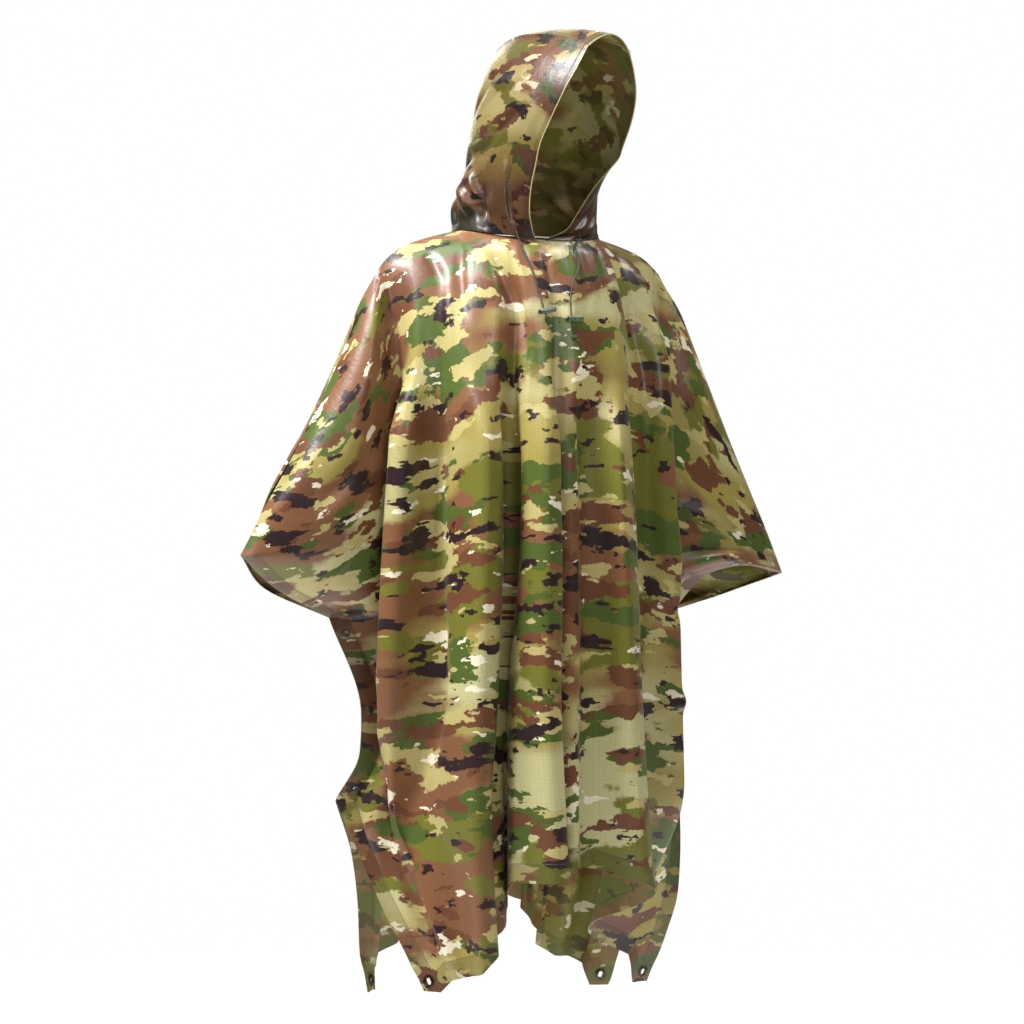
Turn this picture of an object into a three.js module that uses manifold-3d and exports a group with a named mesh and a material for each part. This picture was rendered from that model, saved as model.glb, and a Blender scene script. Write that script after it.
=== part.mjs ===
// A hooded rain poncho, worn: one wide cloth with a hole for the neck hangs from the shoulders and
// arms, its side edges snapped together under the arms, and a three-piece hood stands on the neck.
// Millimetres, +Z up. The wearer faces -Y and the wearer's left is +X. The origin is the middle of
// the neck, where the poncho rests on the wearer's shoulders.
import * as THREE from "three";
import { mergeVertices } from "three/addons/utils/BufferGeometryUtils.js";
import Module from "manifold-3d";

// Driving sizes
const WALL = 1.4;
const GAP = 0.3;
const TWIST_EASE = 0.06;
const HALF_SPAN = 740;
const HEM_BAND = 30;
const NECK = { wide: 113, deep: 106, frontLevel: -10, backLevel: 16 };
const ARM_TILT = 17;
const SIDE_FOLD = 175;
const FOLD_ROUND = 26;
const NET_STEPS = 3;

// The cloth over each arm runs from the armpit fold to the side edge, which first follows the arm
// line. start: place on the shoulder line where it leaves the top row; tip and under: how far down
// the cut the sleeve's tip and the underarm are; round: where the front or back face turns over the
// arm; columns: shares of the way out.
const SLEEVE = {
  start: 300,
  tip: 0.42,
  under: 0.49,
  round: 0.62,
  columns: [0.14, 0.3, 0.5, 0.7, 0.87, 0.97, 1],
};
const ROW_BANDS = [
  { from: 0, to: SLEEVE.tip, rows: 9, bend: 1.3 },
  { from: SLEEVE.tip, to: SLEEVE.under, rows: 3, bend: 1 },
  { from: SLEEVE.under, to: 1, rows: 9, bend: 1 },
];

// Half the shoulder and arm line, from the neck out to the sleeve's tip.
const SHOULDER = [
  { x: 113, y: 2, z: 9 },
  { x: 160, y: 3, z: -3 },
  { x: 202, y: 4, z: -19 },
  { x: 241, y: 5, z: -54 },
  { x: 265, y: 5, z: -98 },
  { x: 288, y: 6, z: -160 },
  { x: 454, y: 6, z: -487 },
];

// Sections of the hanging cloth. share: how far down the cut; fall: share of the height reached;
// body and arm: how far the cloth has swung from the shoulder line to its hanging ring;
// wide and deep: half sizes of that ring; full: how far the cloth over the arm stands out.
const SECTIONS = [
  { share: 0.0, fall: 0.0, body: 0.0, arm: 0.0, wide: 222, deep: 150, full: 0 },
  { share: 0.05, fall: 0.022, body: 0.4, arm: 0.13, wide: 224, deep: 152, full: 20 },
  { share: 0.11, fall: 0.075, body: 0.72, arm: 0.34, wide: 228, deep: 156, full: 33 },
  { share: 0.21, fall: 0.175, body: 0.93, arm: 0.72, wide: 236, deep: 163, full: 42 },
  { share: 0.34, fall: 0.325, body: 1.0, arm: 0.96, wide: 246, deep: 176, full: 42 },
  { share: 0.5, fall: 0.5, body: 1.0, arm: 1.0, wide: 250, deep: 186, full: 14 },
  { share: 0.75, fall: 0.755, body: 1.0, arm: 1.0, wide: 252, deep: 192, full: 7 },
  { share: 1.0, fall: 1.0, body: 1.0, arm: 1.0, wide: 255, deep: 196, full: 0 },
];

// Levels at which the fold tables state a turn and an inset.
const CHEST = 0.21;
const WAIST = 0.5;
const HIP = 0.75;
const HEM = 1.0;

// One row for each fold line. top: place along the shoulder line, from the middle; turn: degrees
// round from the middle of the panel at chest, waist, hip and hem; inset: how far inside the ring
// there; level: height of the hem.
const FRONT_FOLDS = [
  { name: "armpit valley", top: -245, turn: [-80, -79, -82, -47], inset: [24, 74, 22, 4], level: -1079 },
  { name: "right side ridge", top: -196, turn: [-65, -73, -76, -44], inset: [0, 0, 0, 0], level: -1076 },
  { name: "right chest valley", top: -152, turn: [-56, -60, -65, -41], inset: [14, 20, 18, 6], level: -1074 },
  { name: "right panel", top: -113, turn: [-42, -45, -50, -35], inset: [0, 0, 2, 4], level: -1066 },
  { name: "right centre ridge", top: -82, turn: [-30, -32, -33, -30], inset: [0, 0, 0, 0], level: -1040 },
  { name: "right centre valley", top: -58, turn: [-22, -26, -28.5, -28], inset: [28, 50, 62, 66], level: -985 },
  { name: "pleat, right side", top: -34, turn: [-17, -20, -24, -25.5], inset: [2, 3, 5, 8], level: -940 },
  { name: "pleat, left side", top: -10, turn: [-10, -9, -10, -10], inset: [0, 0, 0, 0], level: -940 },
  { name: "behind the pleat", top: 4, turn: [-9, -10, -12, -13], inset: [10, 20, 30, 40], level: -930 },
  { name: "left panel", top: 18, turn: [0, -2, -4, -4], inset: [0, 0, 0, 0], level: -920 },
  { name: "left panel dip", top: 44, turn: [11, 10, 6, 6], inset: [6, 9, 9, 8], level: -925 },
  { name: "left panel ridge", top: 84, turn: [19, 21, 27, 30], inset: [0, 0, 0, 0], level: -968 },
  { name: "left centre valley", top: 113, turn: [40, 46, 54, 58], inset: [24, 48, 88, 150], level: -1036 },
  { name: "left side ridge", top: 175, turn: [50, 55, 62, 92], inset: [0, 0, 0, 105], level: -1070 },
  { name: "left side valley", top: 245, turn: [68, 72, 76, 93], inset: [18, 56, 20, 75], level: -1084 },
];

const BACK_FOLDS = [
  { name: "armpit valley", top: -245, turn: [-80, -79, -78, -62], inset: [24, 74, 50, 20], level: -1086 },
  { name: "right side ridge", top: -196, turn: [-66, -69, -70, -58], inset: [0, 0, 0, 0], level: -1076 },
  { name: "right shoulder valley", top: -152, turn: [-54, -57, -58, -52], inset: [14, 26, 38, 46], level: -1052 },
  { name: "right blade ridge", top: -113, turn: [-41, -43, -44, -43], inset: [0, 0, 0, 0], level: -1040 },
  { name: "right back valley", top: -76, turn: [-27, -28, -29, -30], inset: [12, 32, 48, 62], level: -1010 },
  { name: "right middle ridge", top: -36, turn: [-14, -15, -16, -18], inset: [0, 0, 0, 0], level: -1002 },
  { name: "middle dip", top: 0, turn: [-1, -1, -2, -3], inset: [8, 14, 20, 26], level: -998 },
  { name: "left middle ridge", top: 36, turn: [11, 13, 13, 11], inset: [0, 0, 0, 0], level: -1000 },
  { name: "left back valley", top: 76, turn: [24, 25, 24, 19], inset: [14, 40, 60, 78], level: -1012 },
  { name: "left blade ridge", top: 113, turn: [37, 38, 35, 27], inset: [0, 0, 0, 0], level: -1084 },
  { name: "left shoulder valley", top: 152, turn: [50, 50, 46, 33], inset: [15, 30, 34, 26], level: -1100 },
  { name: "left side ridge", top: 196, turn: [64, 65, 59, 38], inset: [0, 0, 0, 0], level: -1106 },
  { name: "left side valley", top: 245, turn: [79, 78, 73, 43], inset: [24, 74, 40, 10], level: -1116 },
];

// Side edges, from the sleeve's tip down to the corner. sleeve: the edge of the sleeve's opening;
// seam: where the front and back hems lie on each other, from the underarm to the last snap;
// hem: below that, hanging free. lift: how far the cloth above the sleeve's opening is raised.
const RIGHT_SEAM = [
  { share: 0.49, x: -299, y: 47, z: -563 },
  { share: 0.632, x: -262, y: 14, z: -700 },
  { share: 0.69, x: -266, y: 10, z: -760 },
  { share: 0.76, x: -298, y: 26, z: -830 },
];
const LEFT_SEAM = [
  { share: 0.49, x: 276, y: 38, z: -560 },
  { share: 0.58, x: 264, y: 14, z: -640 },
  { share: 0.65, x: 266, y: 8, z: -715 },
  { share: 0.73, x: 270, y: 12, z: -800 },
];
const EDGES = {
  frontRight: {
    lift: 0,
    sleeve: [
      { share: 0.42, x: -454, y: 6, z: -470 },
      { share: 0.455, x: -398, y: 22, z: -516 },
    ],
    seam: RIGHT_SEAM,
    hem: [
      { share: 0.854, x: -264, y: -4, z: -928 },
      { share: 0.92, x: -246, y: -40, z: -996 },
      { share: 0.967, x: -230, y: -70, z: -1045 },
      { share: 1, x: -215, y: -97, z: -1098 },
    ],
  },
  frontLeft: {
    lift: 24,
    sleeve: [
      { share: 0.42, x: 454, y: 6, z: -504 },
      { share: 0.443, x: 364, y: -34, z: -490 },
      { share: 0.467, x: 312, y: -8, z: -503 },
    ],
    seam: LEFT_SEAM,
    hem: [
      { share: 0.83, x: 272, y: 8, z: -900 },
      { share: 0.905, x: 266, y: 4, z: -990 },
      { share: 0.96, x: 246, y: 10, z: -1062 },
      { share: 1, x: 220, y: 20, z: -1130 },
    ],
  },
  backRight: {
    lift: 0,
    sleeve: [
      { share: 0.42, x: -454, y: 6, z: -470 },
      { share: 0.455, x: -398, y: 50, z: -520 },
    ],
    seam: RIGHT_SEAM,
    hem: [
      { share: 0.845, x: -262, y: 48, z: -914 },
      { share: 0.91, x: -246, y: 62, z: -990 },
      { share: 0.96, x: -243, y: 62, z: -1056 },
      { share: 1, x: -232, y: 58, z: -1122 },
    ],
  },
  backLeft: {
    lift: 0,
    sleeve: [
      { share: 0.42, x: 454, y: 6, z: -504 },
      { share: 0.455, x: 372, y: 44, z: -536 },
    ],
    seam: LEFT_SEAM,
    hem: [
      { share: 0.83, x: 266, y: 50, z: -900 },
      { share: 0.9, x: 250, y: 82, z: -985 },
      { share: 0.955, x: 230, y: 102, z: -1062 },
      { share: 1, x: 208, y: 120, z: -1149 },
    ],
  },
};

const mix = (a, b, t) => a + (b - a) * t;
const radians = THREE.MathUtils.degToRad;
const smooth = THREE.MathUtils.smoothstep;

// A curve through (xs, ys) that never overshoots its points.
function through(xs, ys) {
  const slopes = xs.slice(1).map((x, k) => (ys[k + 1] - ys[k]) / (x - xs[k]));
  const tangents = xs.map((_, k) => {
    if (k === 0) return slopes[0];
    if (k === xs.length - 1) return slopes[k - 1];
    const [a, b] = [slopes[k - 1], slopes[k]];
    return a * b <= 0 ? 0 : (2 * a * b) / (a + b);
  });
  return (x) => {
    let k = xs.findIndex((limit) => x <= limit) - 1;
    if (x <= xs[0]) k = 0;
    if (x >= xs[xs.length - 1]) k = xs.length - 2;
    const width = xs[k + 1] - xs[k];
    const t = THREE.MathUtils.clamp((x - xs[k]) / width, 0, 1);
    const rise = ys[k + 1] - ys[k];
    const start = tangents[k] * width;
    const end = tangents[k + 1] * width;
    return ys[k] + start * t + (3 * rise - 2 * start - end) * t * t + (start + end - 2 * rise) * t ** 3;
  };
}

// A named column of a table as a curve over another of its columns.
const column = (table, along, name) =>
  through(table.map((row) => row[along]), table.map((row) => row[name]));

const section = Object.fromEntries(
  ["fall", "body", "arm", "wide", "deep", "full"].map((name) => [name, column(SECTIONS, "share", name)]),
);

// The shoulder line by distance along it from the middle of the neck; inside the neck it is the
// neck's own half ring, in front or behind.
const shoulderRuns = SHOULDER.reduce((runs, p, k) => {
  const before = SHOULDER[k - 1];
  const step = k ? Math.hypot(p.x - before.x, p.y - before.y, p.z - before.z) : NECK.wide;
  return [...runs, (k ? runs[k - 1] : 0) + step];
}, []);
const shoulderAxis = ["x", "y", "z"].map((axis) => through(shoulderRuns, SHOULDER.map((p) => p[axis])));

function neckRing(turn, face) {
  const level = face < 0 ? NECK.frontLevel : NECK.backLevel;
  const side = SHOULDER[0].z;
  const lean = Math.cos(turn) ** 1.5;
  return new THREE.Vector3(
    NECK.wide * Math.sin(turn),
    SHOULDER[0].y + face * NECK.deep * Math.cos(turn),
    mix(side, level, Number.isFinite(lean) ? lean : 0),
  );
}

function shoulderLine(along, face) {
  if (Math.abs(along) < NECK.wide) return neckRing((along / NECK.wide) * (Math.PI / 2), face);
  const reach = Math.min(Math.abs(along) * (shoulderRuns.at(-1) / HALF_SPAN), shoulderRuns.at(-1));
  const run = Math.max(reach, shoulderRuns[0]);
  const [x, y, z] = shoulderAxis.map((axis) => axis(run));
  return new THREE.Vector3(Math.sign(along) * x, y, z);
}

// A point of the net that the folds make: swung from the shoulder line to the hanging ring.
function netPoint(fold, share, face) {
  const levels = [CHEST, WAIST, HIP, HEM];
  const turn = radians(through(levels, fold.turn)(Math.max(share, CHEST)));
  const inset = through([0, ...levels], [0, ...fold.inset])(share);
  return new THREE.Vector3(
    (section.wide(share) - inset) * Math.sin(turn),
    face * (section.deep(share) - inset) * Math.cos(turn),
    fold.level,
  );
}

// Points along a smooth curve through a row of points, with steps between each two of them.
function fair(points, steps) {
  const gaps = points.slice(1).map((p, k) => Math.max(p.distanceTo(points[k]), 1e-3));
  const slopes = points.slice(1).map((p, k) => p.clone().sub(points[k]).divideScalar(gaps[k]));
  const tangents = points.map((_, k) => {
    if (k === 0) return slopes[0];
    if (k === points.length - 1) return slopes[k - 1];
    const near = gaps[k - 1] / (gaps[k - 1] + gaps[k]);
    const sharp = smooth(-slopes[k - 1].dot(slopes[k]), 0, 0.5);
    const tangent = slopes[k - 1].clone().lerp(slopes[k], mix(near, 0.5, sharp));
    const least = FOLD_ROUND / Math.max(gaps[k - 1], gaps[k]);
    return tangent.setLength(Math.min(1, Math.max(tangent.length(), least)));
  });
  const made = [];
  gaps.forEach((gap, k) => {
    for (let s = 0; s < steps; s++) {
      const t = s / steps;
      const [start, end] = [tangents[k].clone().multiplyScalar(gap), tangents[k + 1].clone().multiplyScalar(gap)];
      const rise = points[k + 1].clone().sub(points[k]);
      made.push(
        points[k].clone()
          .addScaledVector(start, t - 2 * t * t + t ** 3)
          .addScaledVector(rise, 3 * t * t - 2 * t ** 3)
          .addScaledVector(end, t ** 3 - t * t),
      );
    }
  });
  return [...made, points.at(-1).clone()];
}

// The path of a side edge from the sleeve's tip, by share of the cut.
function edgePath({ sleeve, seam, hem }) {
  const tables = [[...sleeve, seam[0]], seam, [seam.at(-1), ...hem]];
  const parts = tables.map((table) => ({
    end: table.at(-1).share,
    axes: ["x", "y", "z"].map((axis) => column(table, "share", axis)),
  }));
  return (share) => {
    const part = parts.find(({ end }) => share <= end) ?? parts.at(-1);
    return new THREE.Vector3(...part.axes.map((axis) => axis(share)));
  };
}

// The shares of the cut at which the rows of a panel lie.
const rowShares = ROW_BANDS.flatMap(({ from, to, rows, bend }) =>
  Array.from({ length: rows }, (_, k) => mix(from, to, (k / rows) ** bend)),
).concat(1);

// Points of one row over an arm, from the armpit fold out to the side edge. On the sleeve the cloth
// turns over the arm; below it the hem band lies flat against the other panel's.
function armPoints(valley, share, side, face, edge, path) {
  const reach = share / SLEEVE.tip;
  const place = mix(SLEEVE.start, HALF_SPAN, reach ** 1.1);
  const end = reach < 1 ? shoulderLine(side * place, face) : path(share);
  if (reach < 1) end.z -= side * ARM_TILT * reach ** 2;
  const last = edge.seam.at(-1).share;
  const aim = new THREE.Vector3(side * SIDE_FOLD, 0, end.z).lerp(valley, smooth(share, last, last + 0.12));
  const inward = aim.setZ(end.z).sub(end).setLength(Math.min(HEM_BAND, 0.55 * end.distanceTo(valley)));
  const closed = smooth(share, SLEEVE.tip, SLEEVE.under);
  const raised = edge.lift * smooth(share, 0.2, SLEEVE.tip) * (1 - closed);
  const full = section.full(share);
  const band = SLEEVE.columns.at(-3);
  return SLEEVE.columns.map((c) => {
    const over = Math.max(0, (c - SLEEVE.round) / (1 - SLEEVE.round));
    const out = smooth(c, 0, SLEEVE.round) * Math.sqrt(1 - over ** 2);
    const sleeve = valley.clone().lerp(end, c);
    sleeve.add(new THREE.Vector3(0, face * full * out, raised * Math.sin(Math.PI * c ** 1.2)));
    const root = valley.clone().lerp(end.clone().add(inward), Math.min(1, c / band));
    root.y += face * full * Math.sin(Math.PI * Math.min(1, c / band) ** 1.5);
    const flat = root.lerp(end, Math.max(0, (c - band) / (1 - band)));
    return sleeve.lerp(flat, closed);
  });
}

// The middle surface of the front (face -1) or back (face +1) panel, as rows of points.
function panelRows(folds, rightEdge, leftEdge, face) {
  const paths = [edgePath(rightEdge), edgePath(leftEdge)];
  const places = fair(folds.map((fold) => new THREE.Vector3(fold.top, 0, 0)), NET_STEPS).map((p) => p.x);
  const rows = rowShares.map((share) => {
    const ring = fair(folds.map((fold) => netPoint(fold, share, face)), NET_STEPS);
    const body = places.map((place, i) => {
      const start = shoulderLine(place, face);
      const swing = mix(section.body(share), section.arm(share), smooth(Math.abs(place), 150, 420));
      return new THREE.Vector3(
        mix(start.x, ring[i].x, swing),
        mix(start.y, ring[i].y, swing),
        mix(start.z, ring[i].z, section.fall(share)),
      );
    });
    const right = armPoints(body[0], share, -1, face, rightEdge, paths[0]);
    const left = armPoints(body.at(-1), share, 1, face, leftEdge, paths[1]);
    return [...right.reverse(), ...body, ...left];
  });
  return spread(rows, face);
}

// Moves a panel off the surface that it shares with the other one, so that the rims of their walls
// lie a gap apart along the shoulders and arms, and their faces do along the side hems.
function spread(rows, face) {
  const normals = normalsOf(rows);
  return rows.map((row, j) => {
    const closed = smooth(rowShares[j], SLEEVE.tip, SLEEVE.under);
    const last = row.length - 1;
    return row.map((point, i) => {
      const normal = normals[j][i < 3 ? 0 : i > last - 3 ? last : i];
      const rim = GAP / 2 + (WALL / 2) * Math.abs(normal.y);
      const flat = (GAP / 2 + WALL / 2 + TWIST_EASE) / Math.max(0.5, Math.abs(normal.y) / normal.length());
      const apart = mix(rim, flat, closed);
      return point.clone().setY(point.y + face * apart);
    });
  });
}

// Normals of rows of points, on the side of (along the row) x (to the next row), a little longer at
// a fold so that the wall keeps its thickness there.
function normalsOf(rows) {
  const faces = rows.slice(1).map((row, j) =>
    row.slice(1).map((point, i) => {
      const falling = point.clone().sub(rows[j][i]);
      return falling.cross(row[i].clone().sub(rows[j][i + 1])).normalize();
    }),
  );
  return rows.map((row, j) =>
    row.map((_, i) => {
      const near = [faces[j - 1]?.[i - 1], faces[j - 1]?.[i], faces[j]?.[i - 1], faces[j]?.[i]].filter(Boolean);
      const normal = near.reduce((sum, face) => sum.add(face), new THREE.Vector3());
      return normal.setLength(Math.min(1.5, near.length / Math.max(normal.length(), 0.1)));
    }),
  );
}

// A closed wall of even thickness about rows of points.
function wall(rows, thickness = WALL) {
  const normals = normalsOf(rows);
  const [height, width] = [rows.length, rows[0].length];
  const positions = [];
  for (const side of [0.5, -0.5])
    rows.forEach((row, j) =>
      row.forEach((p, i) => positions.push(...p.clone().addScaledVector(normals[j][i], side * thickness))),
    );
  const at = (j, i, side) => side * width * height + j * width + i;
  const index = [];
  const quad = (a, b, c, d) => index.push(a, b, c, a, c, d);
  for (let j = 0; j < height - 1; j++)
    for (let i = 0; i < width - 1; i++) {
      const falling = rows[j][i].distanceTo(rows[j + 1][i + 1]) < rows[j][i + 1].distanceTo(rows[j + 1][i]);
      for (const side of [0, 1]) {
        const ring = [at(j, i, side), at(j, i + 1, side), at(j + 1, i + 1, side), at(j + 1, i, side)];
        const turned = side ? [ring[0], ring[3], ring[2], ring[1]] : ring;
        const start = falling ? 0 : 1;
        quad(...turned.slice(start), ...turned.slice(0, start));
      }
    }
  for (let i = 0; i < width - 1; i++) {
    quad(at(0, i, 0), at(0, i, 1), at(0, i + 1, 1), at(0, i + 1, 0));
    quad(at(height - 1, i, 1), at(height - 1, i, 0), at(height - 1, i + 1, 0), at(height - 1, i + 1, 1));
  }
  for (let j = 0; j < height - 1; j++) {
    quad(at(j, 0, 1), at(j, 0, 0), at(j + 1, 0, 0), at(j + 1, 0, 1));
    quad(at(j, width - 1, 0), at(j, width - 1, 1), at(j + 1, width - 1, 1), at(j + 1, width - 1, 0));
  }
  const geometry = new THREE.BufferGeometry();
  geometry.setAttribute("position", new THREE.Float32BufferAttribute(positions, 3));
  geometry.setIndex(index);
  geometry.computeVertexNormals();
  return geometry;
}

const finish = (color, roughness, metalness = 0) =>
  new THREE.MeshStandardMaterial({ color, roughness, metalness, side: THREE.DoubleSide });

const group = new THREE.Group();
function add(name, geometry, material) {
  const mesh = new THREE.Mesh(geometry, material);
  mesh.name = name;
  group.add(mesh);
  return mesh;
}

// The hood, in a frame that faces -Y before it is turned. level: share of the way from the neck to
// the top seam; wide: half width; middle: how far forward the widest place is; edge: how far forward
// the face edge is; right and left: how far aside it is on that side, where the left side laps
// across below the chin; back: how far behind the seam at the nape is.
const HOOD = {
  turn: 11,
  edgeTop: 263,
  backTop: 282,
  crown: 22,
  strip: 38,
  stand: WALL / 2 + GAP,
  columns: 18,
  rows: 15,
};
const HOOD_SECTIONS = [
  { level: 0.0, wide: 113, middle: 0, edge: 98, right: 57, left: -42, back: 99 },
  { level: 0.05, wide: 109, middle: 2, edge: 101, right: 65, left: -10, back: 98.5 },
  { level: 0.14, wide: 104, middle: 5, edge: 105, right: 73, left: 14, back: 97 },
  { level: 0.28, wide: 99, middle: 12, edge: 116, right: 77, left: 40, back: 86 },
  { level: 0.36, wide: 98, middle: 17, edge: 124, right: 77, left: 58, back: 82 },
  { level: 0.46, wide: 97, middle: 23, edge: 133, right: 77, left: 76, back: 76 },
  { level: 0.6, wide: 95, middle: 36, edge: 155, right: 74, left: 75, back: 67 },
  { level: 0.75, wide: 90, middle: 46, edge: 177, right: 67, left: 68, back: 56 },
  { level: 0.88, wide: 76, middle: 58, edge: 190, right: 53, left: 54, back: 42 },
  { level: 1.0, wide: 44, middle: 68, edge: 197, right: 38, left: 38, back: 18 },
];
// Folds of the hood's sides. side: -1 right, 1 left; along and level: the middle of the fold;
// wide and tall: its reach along and up the side; lean: how far it runs back as it rises;
// out: how far it stands out.
const HOOD_FOLDS = [
  { name: "buckled tongue", side: -1, along: 0.47, level: 0.23, wide: 0.11, tall: 0.13, lean: 0.2, out: 14 },
  { name: "hollow before it", side: -1, along: 0.33, level: 0.17, wide: 0.07, tall: 0.12, lean: 0.3, out: -8 },
  { name: "hollow below it", side: -1, along: 0.45, level: 0.07, wide: 0.1, tall: 0.05, lean: 0, out: -6 },
  { name: "front ridge", side: -1, along: 0.2, level: 0.22, wide: 0.06, tall: 0.16, lean: 0.1, out: 6 },
  { name: "nape bulge", side: -1, along: 0.68, level: 0.13, wide: 0.09, tall: 0.09, lean: 0, out: 8 },
  { name: "lap's rolled foot", side: 1, along: 0.1, level: 0.06, wide: 0.2, tall: 0.05, lean: 0, out: 7 },
  { name: "lap's hollow", side: 1, along: 0.3, level: 0.2, wide: 0.09, tall: 0.14, lean: 0.3, out: -6 },
  { name: "left ridge", side: 1, along: 0.5, level: 0.16, wide: 0.1, tall: 0.12, lean: 0.2, out: 8 },
];
const hood = Object.fromEntries(
  ["wide", "middle", "edge", "right", "left", "back"].map((name) => [name, column(HOOD_SECTIONS, "level", name)]),
);

// A point of one side of the hood, drawn on the left: along 0 at the face edge and 1 at the seam
// behind, level 0 at the neck and 1 at the seam on top.
function hoodSide(along, level, side = 1) {
  const wide = hood.wide(level);
  const start = Math.asin((side < 0 ? hood.right(level) : hood.left(level)) / wide);
  const end = Math.PI - Math.asin(HOOD.strip / wide);
  const turn = mix(start, end, along);
  const reach = Math.cos(turn) > 0
    ? (hood.edge(level) - hood.middle(level)) / Math.cos(start)
    : (hood.back(level) + hood.middle(level)) / -Math.cos(end);
  const forward = hood.middle(level) + reach * Math.cos(turn);
  const height = mix(HOOD.edgeTop, HOOD.backTop, along) * level + HOOD.crown * level ** 4 * 4 * along * (1 - along);
  const out = HOOD_FOLDS.filter((fold) => fold.side === side).reduce((sum, fold) => {
    const across = (along - fold.along - fold.lean * (level - fold.level)) / fold.wide;
    const up = (level - fold.level) / fold.tall;
    return sum + fold.out * Math.exp(-(across ** 2) - up ** 2);
  }, 0) * smooth(level, 0, 0.06);
  return new THREE.Vector3((wide + out) * Math.sin(turn), -forward - out * Math.cos(turn), height);
}

// Turns a point of the hood to where it faces, and sets its foot on the neck.
function seat(point) {
  const turned = point.clone().applyAxisAngle(new THREE.Vector3(0, 0, 1), radians(HOOD.turn));
  const turn = Math.atan2(turned.x, -turned.y);
  const face = Math.abs(turn) < Math.PI / 2 ? -1 : 1;
  const foot = neckRing(face < 0 ? turn : Math.sign(turn) * (Math.PI - Math.abs(turn)), face);
  const low = 1 - smooth(point.z, 0, 120);
  return turned.add(new THREE.Vector3(0, 0, HOOD.stand + foot.z * low));
}

function hoodSideRows(side) {
  const rows = [];
  for (let j = 0; j <= HOOD.rows; j++)
    rows.push(
      Array.from({ length: HOOD.columns + 1 }, (_, i) => {
        const point = hoodSide(i / HOOD.columns, j / HOOD.rows, side);
        return seat(point.multiply(new THREE.Vector3(side, 1, 1)));
      }),
    );
  return rows;
}

// The strip between the sides, from the brim over the head to the nape.
const STRIP_ARCH = [
  { along: 0, rise: 20 },
  { along: 0.2, rise: 11 },
  { along: 0.45, rise: 9 },
  { along: 0.7, rise: 9 },
  { along: 1, rise: 6 },
];
const stripArch = column(STRIP_ARCH, "along", "rise");
const STRIP_TURN = 0.47;
const STRIP_STEPS = { long: 28, across: 6 };

function stripRows() {
  const seam = (along) =>
    along < STRIP_TURN ? hoodSide(along / STRIP_TURN, 1) : hoodSide(1, (1 - along) / (1 - STRIP_TURN));
  const rows = [];
  for (let j = 0; j <= STRIP_STEPS.long; j++) {
    const along = j / STRIP_STEPS.long;
    const edge = seam(along);
    const course = seam(Math.min(along + 0.02, 1)).sub(seam(Math.max(along - 0.02, 0)));
    const out = new THREE.Vector3(0, -course.z, course.y).normalize();
    if (out.z < 0 && along < 0.5) out.negate();
    const corner = 0.6 * Math.exp(-(((along - STRIP_TURN) / 0.04) ** 2));
    const half = edge.x - GAP - WALL / 2 - corner;
    rows.push(
      Array.from({ length: STRIP_STEPS.across + 1 }, (_, i) => {
        const across = mix(-1, 1, i / STRIP_STEPS.across);
        const point = new THREE.Vector3(half * across, edge.y, edge.z);
        return seat(point.addScaledVector(out, stripArch(along) * (1 - across ** 2)));
      }),
    );
  }
  return rows;
}

// Hardware sizes
const GROMMET = { inset: 18, bore: 5, barrel: 6, flange: 9, thick: 1, sides: 14 };
const SNAP = { inset: 14, cap: 6.2, dome: 2.2, post: 2.4, ring: 5.4, ringThick: 1.4, sides: 10 };
const CORD = { thick: 2.5, sides: 8, step: 6 };
const LOCK = { body: 22, round: 4.25, bore: 3.5, deep: 13, button: 4, hole: 5, sides: 14, through: 40, play: 0.1 };
const KNOT = { round: 3.6, tail: 6, tailRound: 1.25, tailWay: new THREE.Vector3(0.75, -0.1, -0.6) };

// The places of the side snaps, by share of the cut.
const SIDE_SNAPS = [
  { side: "right", number: 1, share: 0.515 },
  { side: "right", number: 2, share: 0.63 },
  { side: "right", number: 3, share: 0.745 },
  { side: "left", number: 1, share: 0.515 },
  { side: "left", number: 2, share: 0.61 },
  { side: "left", number: 3, share: 0.71 },
];

// The drawstrings, from the hood's foot down through the lock to the knot, as points of their
// middle line; at: the point inside the lock; axis: the way from the lock's button to its far end.
const DRAWSTRINGS = {
  right: {
    points: [
      { x: -63.9, y: -98.8, z: 2.2 },
      { x: -62, y: -106, z: -16.4 },
      { x: -60.8, y: -118.8, z: -33.3 },
      { x: -58.7, y: -126, z: -45.4 },
      { x: -55, y: -132.9, z: -59.7 },
      { x: -52.2, y: -139.2, z: -76 },
      { x: -50.2, y: -144.2, z: -90.4 },
      { x: -49.2, y: -151, z: -104 },
      { x: -47.6, y: -155.5, z: -117 },
      { x: -44.4, y: -158.6, z: -128 },
      { x: -40.4, y: -159, z: -136.6 },
    ],
    at: { x: -47.6, y: -155.5, z: -117 },
    axis: { x: 0.955, y: -0.236, z: 0.19 },
    knot: { x: -38.7, y: -159.3, z: -140.2 },
  },
  left: {
    points: [
      { x: 36.5, y: -102.6, z: 4.1 },
      { x: 36, y: -104.6, z: -5.6 },
      { x: 26.7, y: -111.6, z: -14.8 },
      { x: 21, y: -124.6, z: -26.4 },
      { x: 22.4, y: -130.2, z: -37.8 },
      { x: 19.2, y: -136, z: -50.2 },
      { x: 11.1, y: -140.4, z: -65.2 },
      { x: 3.7, y: -144.2, z: -78.8 },
      { x: -0.8, y: -148.8, z: -92.2 },
      { x: -3.2, y: -153, z: -110 },
      { x: -3.7, y: -157.9, z: -127 },
      { x: -2.2, y: -160.6, z: -138 },
      { x: -0.6, y: -161.6, z: -150.4 },
    ],
    at: { x: -3.7, y: -157.9, z: -127 },
    axis: { x: 0.99, y: -0.156, z: 0.04 },
    knot: { x: -1.2, y: -161.9, z: -154.2 },
  },
};

const wasm = await Module();
wasm.setup();
const { Manifold, Mesh } = wasm;

const vector = ({ x, y, z }) => new THREE.Vector3(x, y, z);
const UP = new THREE.Vector3(0, 0, 1);

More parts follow.
